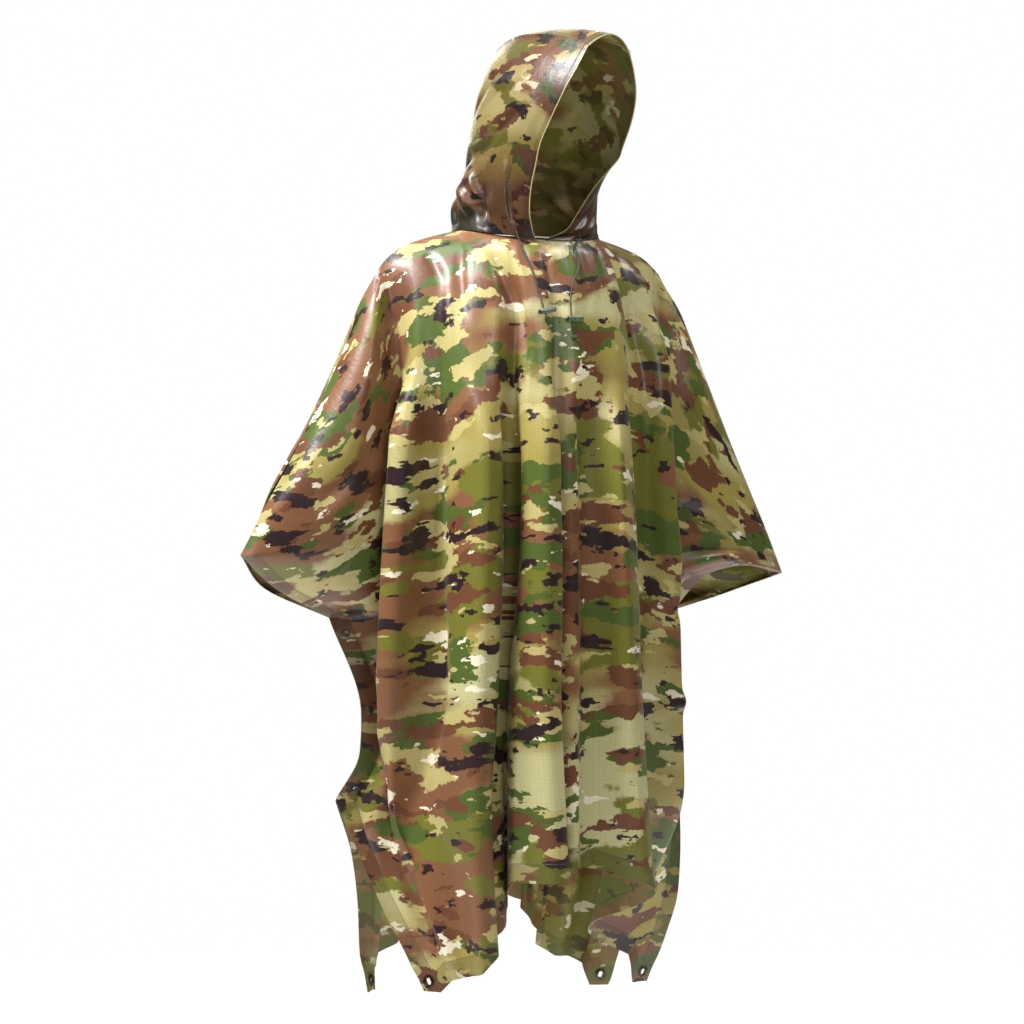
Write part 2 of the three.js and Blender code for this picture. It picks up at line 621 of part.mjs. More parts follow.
function toSolid(geometry) {
  const bare = new THREE.BufferGeometry().copy(geometry).deleteAttribute("normal").deleteAttribute("uv");
  const merged = mergeVertices(bare, 1e-4);
  return new Manifold(
    new Mesh({
      numProp: 3,
      vertProperties: new Float32Array(merged.attributes.position.array),
      triVerts: new Uint32Array(merged.index.array),
    }),
  );
}

function toGeometry(solid) {
  const mesh = solid.getMesh();
  const geometry = new THREE.BufferGeometry();
  geometry.setAttribute("position", new THREE.BufferAttribute(new Float32Array(mesh.vertProperties), 3));
  geometry.setIndex(new THREE.BufferAttribute(new Uint32Array(mesh.triVerts), 1));
  geometry.computeVertexNormals();
  return geometry;
}

// A solid turned about +Z from a profile of radius and height.
const turned = (profile, sides) => Manifold.revolve([profile.map(({ r, h }) => [r, h])], sides);

// Moves a solid made about +Z to a point, with its axis along a direction.
function placed(solid, point, axis) {
  const turn = new THREE.Quaternion().setFromUnitVectors(UP, axis.clone().normalize());
  const matrix = new THREE.Matrix4().compose(point, turn, new THREE.Vector3(1, 1, 1));
  return solid.transform(matrix.elements);
}

// Presses the cloth flat beside a side edge, between two rows, where a ring or snap sits on it.
function pressFlat(rows, share, side, reach) {
  const j = Math.min(rowShares.findLastIndex((s) => s <= share), rows.length - 2);
  const near = [rows[j], rows[j + 1]].map((row) => {
    const line = side < 0 ? row : [...row].reverse();
    return line.filter((point, i) => i < 3 || point.distanceTo(line[0]) < reach);
  });
  const [a, b, c, d] = [near[0][0], near[1].at(-1), near[0].at(-1), near[1][0]];
  const normal = b.clone().sub(a).cross(c.clone().sub(d)).normalize();
  const middle = [a, b, c, d].reduce((sum, p) => sum.add(p), new THREE.Vector3()).divideScalar(4);
  for (const point of near.flat()) point.addScaledVector(normal, -point.clone().sub(middle).dot(normal));
}

// The point and outward normal of a panel at a share of the cut, a distance in from a side edge.
function placeOn(rows, share, side, inset, face) {
  const j = Math.min(rowShares.findLastIndex((s) => s <= share), rows.length - 2);
  const t = (share - rowShares[j]) / (rowShares[j + 1] - rowShares[j]);
  const last = rows[0].length - 1;
  const [edge, inner] = side < 0 ? [0, 2] : [last, last - 2];
  const lineAt = (i) => rows[j][i].clone().lerp(rows[j + 1][i], t);
  const point = lineAt(edge).add(lineAt(inner).sub(lineAt(edge)).setLength(inset));
  const across = rows[j + 1][inner].clone().sub(rows[j][edge]);
  const normal = across.cross(rows[j][inner].clone().sub(rows[j + 1][edge])).normalize();
  if (normal.y * face < 0) normal.negate();
  return { point, normal };
}

const front = panelRows(FRONT_FOLDS, EDGES.frontRight, EDGES.frontLeft, -1);
const back = panelRows(BACK_FOLDS, EDGES.backRight, EDGES.backLeft, 1);

for (const rows of [front, back]) {
  for (const side of [-1, 1]) pressFlat(rows, 1, side, 2.2 * GROMMET.inset);
  for (const { side, share } of SIDE_SNAPS) pressFlat(rows, share, side === "left" ? 1 : -1, 0);
}

const OLIVE = finish("#7c7a45", 0.45);
const BRASS = finish("#3b342c", 0.4, 0.9);
const BUTTON = finish("#1d1e19", 0.35);
const BARREL = finish("#59654a", 0.3);
const CORD_FINISH = finish("#3a3a30", 0.7);

// The front and back panels, with a hole for each corner grommet and each side snap.
const seatOff = WALL / 2 + GAP;
const cloths = {
  front: { rows: front, face: -1, holes: [] },
  back: { rows: back, face: 1, holes: [] },
};
const pieces = [];

function pierce(cloth, place, radius) {
  const hole = Manifold.cylinder(4 * WALL, radius, radius, 10, true);
  cloth.holes.push(placed(hole, place.point, place.normal));
}

for (const [panel, cloth] of Object.entries(cloths))
  for (const [corner, side] of [["right", -1], ["left", 1]]) {
    const edgeRows = cloth.rows.at(-1);
    const above = cloth.rows.at(-2);
    const end = side < 0 ? 0 : edgeRows.length - 1;
    const rise = GROMMET.inset / edgeRows[end].distanceTo(above[end]);
    const share = mix(1, rowShares.at(-2), rise);
    const place = placeOn(cloth.rows, share, side, GROMMET.inset, cloth.face);
    const { bore, barrel, flange, thick, sides } = GROMMET;
    const ring = turned(
      [
        { r: bore, h: -seatOff - thick },
        { r: flange, h: -seatOff - thick * 0.6 },
        { r: flange, h: -seatOff },
        { r: barrel, h: -seatOff },
        { r: barrel, h: seatOff },
        { r: flange, h: seatOff },
        { r: flange, h: seatOff + thick * 0.6 },
        { r: bore, h: seatOff + thick },
      ],
      sides,
    );
    pierce(cloth, place, barrel + GAP);
    const solid = placed(ring, place.point, place.normal);
    pieces.push({ name: `grommet_${panel}_${corner}`, solid, finish: BRASS });
  }

for (const { side, number, share } of SIDE_SNAPS) {
  const sign = side === "left" ? 1 : -1;
  const { inset, cap, dome, post, ring, ringThick, sides } = SNAP;
  const outer = placeOn(front, share, sign, inset, -1);
  const inner = placeOn(back, share, sign, inset, 1);
  const capHalf = turned(
    [
      { r: 0, h: -WALL / 2 },
      { r: post, h: -WALL / 2 },
      { r: post, h: seatOff },
      { r: cap, h: seatOff },
      { r: cap * 0.8, h: seatOff + dome * 0.7 },
      { r: 0, h: seatOff + dome },
    ],
    sides,
  );
  const studHalf = turned(
    [
      { r: 0, h: -WALL / 2 },
      { r: post, h: -WALL / 2 },
      { r: post, h: seatOff },
      { r: ring, h: seatOff },
      { r: ring, h: seatOff + ringThick },
      { r: 0, h: seatOff + ringThick },
    ],
    sides,
  );
  for (const [cloth, place, half, kind] of [
    [cloths.front, outer, capHalf, "cap"],
    [cloths.back, inner, studHalf, "stud"],
  ]) {
    pierce(cloth, place, post + GAP);
    const solid = placed(half, place.point, place.normal);
    pieces.push({ name: `side_snap_${kind}_${side}_${number}`, solid, finish: BRASS });
  }
}

for (const [panel, { rows, face, holes }] of Object.entries(cloths)) {
  const outward = face < 0 ? rows.map((row) => [...row].reverse()) : rows;
  add(`${panel}_panel`, toGeometry(toSolid(wall(outward)).subtract(Manifold.union(holes))), OLIVE);
}
add("hood_right", wall(hoodSideRows(-1).map((row) => [...row].reverse())), OLIVE);
add("hood_left", wall(hoodSideRows(1)), OLIVE);
add("hood_strip", wall(stripRows()), OLIVE);

// The drawstrings, their barrel locks and their knots.
for (const [side, { points, at, axis, knot }] of Object.entries(DRAWSTRINGS)) {
  const curve = new THREE.CatmullRomCurve3(points.map(vector), false, "centripetal");
  const round = new THREE.Shape();
  round.absarc(0, 0, CORD.thick / 2, 0, 2 * Math.PI);
  const tube = new THREE.ExtrudeGeometry(round, {
    extrudePath: curve,
    steps: Math.round(curve.getLength() / CORD.step),
    curveSegments: CORD.sides / 2,
  });
  add(`drawstring_${side}`, tube, CORD_FINISH);

  const along = vector(axis).normalize();
  const bottom = vector(at).addScaledVector(along, -LOCK.hole);
  const t = points.findIndex((p) => p.z === at.z);
  const course = vector(points[t + 1]).sub(vector(points[t - 1]));
  const clear = CORD.thick / 2 + GAP + LOCK.play;
  const hole = placed(Manifold.cylinder(LOCK.through, clear, clear, 10, true), vector(at), course);
  const { body, round: outside, bore: inside, deep, button, sides } = LOCK;
  const barrel = turned(
    [
      { r: inside, h: 0 },
      { r: outside - 0.4, h: 0 },
      { r: outside, h: 0.8 },
      { r: outside, h: body - 1.4 },
      { r: outside - 1.2, h: body },
      { r: 0, h: body },
      { r: 0, h: deep },
      { r: inside, h: deep },
    ],
    sides,
  );
  const plunger = turned(
    [
      { r: 0, h: -button },
      { r: inside - 1.1, h: -button },
      { r: inside - GAP, h: -button + 0.9 },
      { r: inside - GAP, h: deep - GAP },
      { r: 0, h: deep - GAP },
    ],
    12,
  );
  add(`cord_lock_${side}`, toGeometry(placed(barrel, bottom, along).subtract(hole)), BARREL);
  add(`cord_lock_button_${side}`, toGeometry(placed(plunger, bottom, along).subtract(hole)), BUTTON);

  const end = Manifold.cylinder(KNOT.round + KNOT.tail, KNOT.tailRound, KNOT.tailRound, 8);
  const tail = placed(end, vector(knot), KNOT.tailWay);
  const ball = Manifold.sphere(KNOT.round, 12).translate([knot.x, knot.y, knot.z]);
  add(`drawstring_knot_${side}`, toGeometry(ball.add(tail)), CORD_FINISH);
}
for (const piece of pieces) add(piece.name, toGeometry(piece.solid), piece.finish);

export default group;
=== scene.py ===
"""The looks of a hooded rain poncho, worn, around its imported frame.

One wide cloth with a hole for the neck hangs from the shoulders and arms, its side edges snapped
together under the arms, and a three-piece hood stands on the neck. Sizes are in millimetres until a
mesh is made, which is in metres. +Z is up, the wearer faces -Y and the wearer's left is +X. The
origin is the middle of the neck.
"""

import logging
import math
from dataclasses import dataclass
from enum import Enum
from typing import Callable, Sequence

import bpy
import numpy as np
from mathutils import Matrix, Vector


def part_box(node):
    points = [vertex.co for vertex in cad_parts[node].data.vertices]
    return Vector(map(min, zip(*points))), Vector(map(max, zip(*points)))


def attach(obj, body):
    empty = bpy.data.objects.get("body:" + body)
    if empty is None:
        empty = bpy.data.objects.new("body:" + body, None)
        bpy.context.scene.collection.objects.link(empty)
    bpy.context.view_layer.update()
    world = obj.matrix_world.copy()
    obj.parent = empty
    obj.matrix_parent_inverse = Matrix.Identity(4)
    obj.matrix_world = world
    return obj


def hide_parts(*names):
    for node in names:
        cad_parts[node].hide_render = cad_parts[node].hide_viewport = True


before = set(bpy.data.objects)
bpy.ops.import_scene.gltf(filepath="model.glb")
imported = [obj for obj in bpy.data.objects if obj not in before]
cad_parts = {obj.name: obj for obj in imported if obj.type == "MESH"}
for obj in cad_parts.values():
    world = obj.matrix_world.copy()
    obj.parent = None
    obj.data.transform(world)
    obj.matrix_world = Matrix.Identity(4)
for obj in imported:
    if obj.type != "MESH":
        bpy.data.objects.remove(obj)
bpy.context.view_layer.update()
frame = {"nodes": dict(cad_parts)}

log = logging.getLogger("poncho")

Array = np.ndarray
Place = tuple[float, float, float]

MM = 0.001
BODY = "root"

# Sizes of the cut and of the worn form, as the solids have them.
WALL = 1.4
GAP = 0.3
TWIST_EASE = 0.06
TUBE_TIP = 0.05
TUBE_DOME = 0.3
RIM_GAP = 0.03
HALF_SPAN = 740.0
HEM_BAND = 30.0
NECK_WIDE = 113.0
NECK_DEEP = 106.0
ARM_TILT = 17.0
SIDE_FOLD = 175.0
FOLD_ROUND = 11.0
SLEEVE_START = 300.0
SLEEVE_TIP = 0.42
SLEEVE_UNDER = 0.49
SLEEVE_ROUND = 0.62
SLEEVE_BAND = 0.87
LEVELS = (0.21, 0.5, 0.75, 1.0)
CLOTH_THICK = 0.7

# How strongly an edge pulls while a cloth is laid flat, the grid steps that it spans and the rounds.
LAY_PULL = 1.6
LAY_STRIDE = 3
LAY_ROUNDS = 500

# How a crease fades at its ends, and how a long fold fades in and out, in millimetres either side.
CREASE_END = 0.03
CREASE_BLUNT = 0.6
LONG_RISE = (70, 60)
LONG_FALL = (20, 140)

# How far back a row turns where a fold is a full one, and the angle from which an edge is sharp.
TURN_SHARP = 0.5
SHARP_ANGLE = math.radians(55)


class Face(Enum):
    """The half of the poncho, by the side that it looks to along Y."""

    FRONT = -1
    BACK = 1


class Side(Enum):
    """The wearer's side, by its sign along X."""

    RIGHT = -1
    LEFT = 1


# Curves and grids


def unit(vectors: Array) -> Array:
    """Vectors of length one, over the last axis."""
    return vectors / np.maximum(np.linalg.norm(vectors, axis=-1, keepdims=True), 1e-9)


def smooth(values: Array, low: float, high: float) -> Array:
    """Rises from 0 at low to 1 at high as 3t^2 - 2t^3."""
    t = np.clip((values - low) / (high - low), 0, 1)
    return t * t * (3 - 2 * t)


def mix(a: Array, b: Array, t: Array) -> Array:
    """The value a share t of the way from a to b."""
    return a + (b - a) * t


def through(places: Sequence[float], values: Sequence) -> Callable[[Array], Array]:
    """A curve through points that never overshoots them: a cubic between each two, whose slope at a
    point is the harmonic mean of the slopes beside it, or 0 where they turn.

    Args:
        places: rising places along the curve.
        values: a number or a row of numbers for each place.

    Returns:
        A function from an array of places to the values there.
    """
    xs, ys = np.asarray(places, float), np.asarray(values, float)
    tail = (1,) * (ys.ndim - 1)
    widths = np.diff(xs).reshape(-1, *tail)
    slopes = np.diff(ys, axis=0) / widths
    product, total = slopes[:-1] * slopes[1:], slopes[:-1] + slopes[1:]
    inner = np.where(product > 0, 2 * product / np.where(product > 0, total, 1), 0)
    tangents = np.concatenate([slopes[:1], inner, slopes[-1:]])

    def curve(at: Array) -> Array:
        """The values at places on the curve."""
        at = np.asarray(at, float)
        k = np.clip(np.searchsorted(xs, at, side="left") - 1, 0, len(xs) - 2)
        t = np.clip((at - xs[k]) / np.diff(xs)[k], 0, 1).reshape(at.shape + tail)
        rise, start, end = ys[k + 1] - ys[k], tangents[k] * widths[k], tangents[k + 1] * widths[k]
        return ys[k] + start * t + (3 * rise - 2 * start - end) * t**2 + (start + end - 2 * rise) * t**3

    return curve


def fair(points: Array, steps: int) -> Array:
    """Smooth curves through rows of points: a cubic between each two, with the tangents' mean at each
    point, and a rounded turn of at least FOLD_ROUND where the row folds back.

    Args:
        points: rows of points, shaped (rows, points, axes).
        steps: steps between each two points.

    Returns:
        The finer rows, shaped (rows, (points - 1) * steps + 1, axes).
    """
    rises = np.diff(points, axis=1)
    gaps = np.maximum(np.linalg.norm(rises, axis=-1, keepdims=True), 1e-3)
    slopes = rises / gaps
    before, after = slopes[:, :-1], slopes[:, 1:]
    near = gaps[:, :-1] / (gaps[:, :-1] + gaps[:, 1:])
    sharp = smooth(-(before * after).sum(-1, keepdims=True), 0, TURN_SHARP)
    inner = mix(before, after, mix(near, 0.5, sharp))
    least = FOLD_ROUND / np.maximum(gaps[:, :-1], gaps[:, 1:])
    length = np.linalg.norm(inner, axis=-1, keepdims=True)
    inner = unit(inner) * np.minimum(1, np.maximum(length, least))
    tangents = np.concatenate([slopes[:, :1], inner, slopes[:, -1:]], axis=1)
    t = (np.arange(steps) / steps)[None, None, :, None]
    start, end = (tangents[:, :-1] * gaps)[:, :, None], (tangents[:, 1:] * gaps)[:, :, None]
    made = (
        points[:, :-1, None]
        + start * (t - 2 * t**2 + t**3)
        + rises[:, :, None] * (3 * t**2 - 2 * t**3)
        + end * (t**3 - t**2)
    )
    made = made.reshape(points.shape[0], -1, points.shape[2])
    return np.concatenate([made, points[:, -1:]], axis=1)


def grid_normals(points: Array) -> Array:
    """Unit normals of a grid: its slope along the row crossed with its slope to the next row."""
    return unit(np.cross(np.gradient(points, axis=1), np.gradient(points, axis=0)))


def run_lengths(points: Array, axis: int) -> Array:
    """Length along the grid lines of an axis, from their first point."""
    steps = np.linalg.norm(np.diff(points, axis=axis), axis=-1)
    first = np.zeros_like(steps.take([0], axis))
    return np.concatenate([first, np.cumsum(steps, axis=axis)], axis=axis)


def lay_flat(points: Array, start: Array) -> Array:
    """Lays a curved grid flat, as the cloth was cut: each edge and diagonal of the grid pushes or
    pulls its two ends by half of what it is short or long, again and again.

    Args:
        points: the grid in space, shaped (rows, columns, 3).
        start: a first guess in the plane, shaped (rows, columns, 2).

    Returns:
        The place of each grid point in the plane.
    """
    rows, columns = (np.unique(np.append(np.arange(0, n, LAY_STRIDE), n - 1)) for n in points.shape[:2])
    space, flat = points[np.ix_(rows, columns)], start[np.ix_(rows, columns)].copy()
    spans = [
        ((slice(None), slice(None, -1)), (slice(None), slice(1, None))),
        ((slice(None, -1), slice(None)), (slice(1, None), slice(None))),
        ((slice(None, -1), slice(None, -1)), (slice(1, None), slice(1, None))),
        ((slice(None, -1), slice(1, None)), (slice(1, None), slice(None, -1))),
    ]
    wanted = [np.linalg.norm(space[b] - space[a], axis=-1) for a, b in spans]
    count = np.zeros(flat.shape[:2])
    for a, b in spans:
        count[a] += 1
        count[b] += 1
    for _ in range(LAY_ROUNDS):
        move = np.zeros_like(flat)
        for (a, b), length in zip(spans, wanted):
            edge = flat[b] - flat[a]
            over = 1 - length / np.maximum(np.linalg.norm(edge, axis=-1), 1e-6)
            pull = edge * (0.5 * over)[..., None]
            move[a] += pull
            move[b] -= pull
        flat += LAY_PULL * move / count[..., None]
    every_row, every_column = np.arange(points.shape[0]), np.arange(points.shape[1])
    along = np.stack([through(rows, flat[:, k])(every_row) for k in range(len(columns))], axis=1)
    return np.stack([through(columns, row)(every_column) for row in along])


@dataclass(frozen=True)
class Crease:
    """A soft trough or ridge in a cloth: from one place on its cut to another, in millimetres.

    Args:
        start: across and down, where it begins.
        end: across and down, where it ends.
        wide: the reach to each side.
        out: how far it stands out, or in where it is negative.
        bow: how far its middle is off the straight line.
    """

    start: tuple[float, float]
    end: tuple[float, float]
    wide: float
    out: float
    bow: float = 0.0

    def relief(self, across: Array, down: Array) -> Array:
        """Height over the cut: a bell across the bowed line that fades in and out along it.

        Args:
            across: places across the cut.
            down: places down the cut.

        Returns:
            The height at each place.
        """
        course = np.subtract(self.end, self.start)
        length = float(np.hypot(*course))
        course = course / length
        x, y = across - self.start[0], down - self.start[1]
        t = (x * course[0] + y * course[1]) / length
        off = x * -course[1] + y * course[0] - self.bow * np.sin(np.pi * np.clip(t, 0, 1))
        past = np.maximum(np.maximum(-t, t - 1), 0) * length
        fade = np.sin(np.pi * np.clip(t, CREASE_END, 1 - CREASE_END)) ** CREASE_BLUNT
        return self.out * fade * np.exp(-((off / self.wide) ** 2) - (past / self.wide) ** 2)


@dataclass(frozen=True)
class LongFold:
    """A ridge or valley that runs down a panel, between the larger fold lines of the solids.

    Args:
        line: its places as down and across, in millimetres of the cut.
        wide: its reach to each side.
        out: how far it stands out, or in where it is negative.
    """

    line: tuple[tuple[float, float], ...]
    wide: float
    out: float

    def relief(self, across: Array, down: Array) -> Array:
        """Height over the cut: a bell across the line, which fades in above its first place and
        out below its last.

        Args:
            across: places across the cut.
            down: places down the cut.

        Returns:
            The height at each place.
        """
        downs, places = zip(*self.line)
        off = across - through(downs, places)(down)
        begun = smooth(down, downs[0] - LONG_RISE[0], downs[0] + LONG_RISE[1])
        ended = smooth(down, downs[-1] - LONG_FALL[0], downs[-1] + LONG_FALL[1])
        fade = begun * (1 - ended)
        return self.out * fade * np.exp(-((off / self.wide) ** 2))


def creases(*rows: tuple[float, ...]) -> tuple[Crease, ...]:
    """Creases from rows of two numbers where each begins and two where it ends, and then its reach,
    its height and, where it isn't straight, its bow."""
    return tuple(Crease(row[:2], row[2:4], *row[4:]) for row in rows)


# Meshes

# The corners of a cell on its edge to each neighbour, by the neighbour's way down and across.
NEIGHBOURS = {(-1, 0): (0, 1), (0, 1): (1, 2), (1, 0): (2, 3), (0, -1): (3, 0)}


def make_mesh(
    name: str, points: Array, quads: Array, maps: dict[str, Array], inner: Array
) -> bpy.types.Object:
    """A mesh object at the origin that rides on the body.

    Args:
        name: the piece's name.
        points: its vertices in millimetres.
        quads: four vertex numbers a face.
        maps: UV maps by name, two numbers a vertex.
        inner: 1 for each vertex on the inside of the cloth, 0 outside.

    Returns:
        The new object.
    """
    mesh = bpy.data.meshes.new(name)
    mesh.vertices.add(len(points))
    mesh.vertices.foreach_set("co", (points * MM).astype(np.float32).ravel())
    mesh.loops.add(quads.size)
    mesh.loops.foreach_set("vertex_index", quads.astype(np.int32).ravel())
    mesh.polygons.add(len(quads))
    mesh.polygons.foreach_set("loop_start", np.arange(0, quads.size, 4, dtype=np.int32))
    mesh.update(calc_edges=True)
    mesh.validate()
    mesh.polygons.foreach_set("use_smooth", np.ones(len(quads), bool))
    mesh.set_sharp_from_angle(angle=SHARP_ANGLE)
    for title, values in maps.items():
        layer = mesh.uv_layers.new(name=title)
        layer.data.foreach_set("uv", values[quads.ravel()].astype(np.float32).ravel())
    mesh.attributes.new("inner", "FLOAT", "POINT").data.foreach_set("value", inner.astype(np.float32))
    piece = bpy.data.objects.new(name, mesh)
    bpy.context.scene.collection.objects.link(piece)
    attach(piece, BODY)
    return piece


def shell(
    name: str, points: Array, thick: Array, maps: dict[str, Array], *,
    hole: Array | None = None, turned: bool = False,
) -> bpy.types.Object:
    """A closed thin cloth about a grid of points: each point moved half the thickness along its
    normal to either side, and a rim along every open edge.

    Args:
        name: the piece's name.
        points: the middle of the cloth, shaped (rows, columns, 3), outside where the row crossed
            with the next row points.
        thick: the cloth's thickness at each point.
        maps: UV maps by name, shaped (rows, columns, 2).
        hole: True for each cell of the grid that is left open.
        turned: whether the rows run the other way, so that they are turned round first.

    Returns:
        The new object.
    """
    height, width = points.shape[:2]
    kept = np.ones((height - 1, width - 1), bool) if hole is None else ~hole
    if turned:
        points, thick, kept = points[:, ::-1], thick[:, ::-1], kept[:, ::-1]
        maps = {title: values[:, ::-1] for title, values in maps.items()}
    aside = grid_normals(points) * (thick / 2)[..., None]
    body = np.concatenate([(points + aside).reshape(-1, 3), (points - aside).reshape(-1, 3)])
    number = np.arange(height * width).reshape(height, width)
    cells = np.stack([number[:-1, :-1], number[:-1, 1:], number[1:, 1:], number[1:, :-1]], axis=-1)
    outer = cells[kept]
    layer = height * width
    padded = np.pad(kept, 1)
    rims = []
    for (down, right), (a, b) in NEIGHBOURS.items():
        beside = padded[1 + down : height + down, 1 + right : width + right]
        first, second = cells[kept & ~beside][:, (a, b)].T
        rims.append(np.stack([second, first, first + layer, second + layer], axis=-1))
    quads = np.concatenate([outer, outer[:, ::-1] + layer, *rims])
    flat = {title: np.tile(values.reshape(-1, 2), (2, 1)) for title, values in maps.items()}
    inner = np.repeat([0.0, 1.0], layer)
    used = np.unique(quads)
    lookup = np.full(len(body), -1)
    lookup[used] = np.arange(len(used))
    return make_mesh(name, body[used], lookup[quads], {t: v[used] for t, v in flat.items()}, inner[used])


# A way that no cord takes, from which the first ring is laid out.
OBLIQUE = (0.3, 1.0, 0.2)


def tube(name: str, path: Array, radius: Array, sides: int) -> bpy.types.Object:
    """A round cord along a path: a ring of points about each place, in a frame that turns with the
    path as little as it can, closed at both ends by a small ring. Its UV map runs round and along.

    Args:
        name: the piece's name.
        path: places along the middle line.
        radius: the cord's radius at each.
        sides: points in a ring.

    Returns:
        The new object.
    """
    course = unit(np.gradient(path, axis=0))
    across = unit(np.cross(course[0], OBLIQUE))
    frames = []
    for direction in course:
        across = unit(across - direction * across.dot(direction))
        frames.append(across)
    aside = np.array(frames)
    ahead = np.cross(course, aside)
    turn = np.linspace(0, 2 * math.pi, sides, endpoint=False)
    ring = np.cos(turn)[None, :, None] * aside[:, None] + np.sin(turn)[None, :, None] * ahead[:, None]
    wide = np.concatenate([[TUBE_TIP], radius, [TUBE_TIP]])
    before = path[:1] - course[:1] * radius[0] * TUBE_DOME
    beyond = path[-1:] + course[-1:] * radius[-1] * TUBE_DOME
    places = np.concatenate([before, path, beyond])
    ring = np.concatenate([ring[:1], ring, ring[-1:]])
    points = places[:, None] + ring * wide[:, None, None]
    number = np.arange(points.shape[0] * sides).reshape(-1, sides)
    after = np.roll(number, -1, axis=1)
    quads = np.stack([number[:-1], after[:-1], after[1:], number[1:]], axis=-1).reshape(-1, 4)
    k = np.arange(1, sides - 1, 2)
    caps = np.concatenate([
        np.stack([ends[np.zeros_like(k)], ends[k], ends[k + 1], ends[k + 2]], axis=-1)
        for ends in (number[0, ::-1], number[-1])
    ])
    along = np.concatenate([[0], np.cumsum(np.linalg.norm(np.diff(places, axis=0), axis=-1))])
    laid = np.stack(np.broadcast_arrays(turn[None] / (2 * math.pi), along[:, None] * MM), axis=-1)
    maps = {"round": laid.reshape(-1, 2)}
    return make_mesh(name, points.reshape(-1, 3), np.concatenate([quads, caps]), maps, np.zeros(number.size))


# The shoulder line and the neck

SHOULDER = np.array([
    (113, 2, 9), (160, 3, -3), (202, 4, -19), (241, 5, -54), (265, 5, -98), (288, 6, -160), (454, 6, -487),
], float)
SHOULDER_RUNS = NECK_WIDE + run_lengths(SHOULDER, 0)
shoulder_course = through(SHOULDER_RUNS, SHOULDER)

# The shoulder line's place where the arm begins.
ARM_START = 3

# The level of the neck's edge in the middle of each half, and how it rises there from the sides.
NECK_FRONT = -10.0
NECK_BACK = 16.0
NECK_LEAN = 1.5


def neck_ring(turn: Array, face: Array) -> Array:
    """Places on the neck's edge: half an oval whose level rises from the sides to the middle.

    Args:
        turn: angle from the middle of that half, in radians.
        face: -1 in front or 1 behind.

    Returns:
        The places, with three numbers in the last axis.
    """
    level = np.where(face < 0, NECK_FRONT, NECK_BACK)
    lean = np.maximum(np.cos(turn), 0) ** NECK_LEAN
    x, y = NECK_WIDE * np.sin(turn), SHOULDER[0, 1] + face * NECK_DEEP * np.cos(turn)
    return np.stack(np.broadcast_arrays(x, y, mix(SHOULDER[0, 2], level, lean)), axis=-1)


def shoulder_line(along: Array, face: int) -> Array:
    """Places on the line from the middle of the neck's edge over the shoulder and down the arm.

    Args:
        along: distance along the cut from its middle, with the side's sign.
        face: -1 in front or 1 behind.

    Returns:
        The places, with three numbers in the last axis.
    """
    reach = np.clip(np.abs(along) * (SHOULDER_RUNS[-1] / HALF_SPAN), SHOULDER_RUNS[0], SHOULDER_RUNS[-1])
    level = np.ones_like(along)
    outer = shoulder_course(reach) * np.stack([np.sign(along), level, level], axis=-1)
    inner = neck_ring(np.clip(along / NECK_WIDE, -1, 1) * (math.pi / 2), np.full(along.shape, face))
    return np.where((np.abs(along) < NECK_WIDE)[..., None], inner, outer)


# Sections of the hanging cloth: share of the cut; fall, share of the height; body and arm, how far
# the cloth has swung from the shoulder line to its ring; half sizes of the ring; and how far the
# cloth over the arm stands out.
SECTIONS = np.array([
    # share, fall, body, arm, wide, deep, full
    (0.0, 0.0, 0.0, 0.0, 222, 150, 0),
    (0.05, 0.022, 0.4, 0.13, 224, 152, 20),
    (0.11, 0.075, 0.72, 0.34, 228, 156, 33),
    (0.21, 0.175, 0.93, 0.72, 236, 163, 42),
    (0.34, 0.325, 1.0, 0.96, 246, 176, 42),
    (0.5, 0.5, 1.0, 1.0, 250, 186, 14),
    (0.75, 0.755, 1.0, 1.0, 252, 192, 7),
    (1.0, 1.0, 1.0, 1.0, 255, 196, 0),
])
section = through(SECTIONS[:, 0], SECTIONS[:, 1:])


@dataclass(frozen=True)
class Fold:
    """A fold line of a panel, from the shoulder to the hem.

    Args:
        name: what it is.
        top: its place along the shoulder line.
        turn: degrees round from the panel's middle at chest, waist, hip and hem.
        inset: how far inside the ring it lies there.
        level: the height of the hem.
    """

    name: str
    top: float
    turn: Place
    inset: Place
    level: float


@dataclass(frozen=True)
class Edge:
    """A side edge of a panel, as rows of share of the cut, x, y and z.

    Args:
        lift: how far the cloth above the sleeve's opening is raised.
        sleeve: the edge of the sleeve's opening, from its tip.
        seam: where the front and back hems are snapped together.
        hem: below that, hanging free to the corner.
    """

    lift: float
    sleeve: tuple
    seam: tuple
    hem: tuple

    def path(self, share: Array) -> Array:
        """Places on the edge by share of the cut."""
        tables = [(*self.sleeve, self.seam[0]), self.seam, (self.seam[-1], *self.hem)]
        made = np.zeros((*share.shape, 3))
        low = 0.0
        for table in tables:
            rows = np.array(table, float)
            here = (share > low) | (low == 0.0)
            made[here] = through(rows[:, 0], rows[:, 1:])(share[here])
            low = rows[-1, 0]
        return made


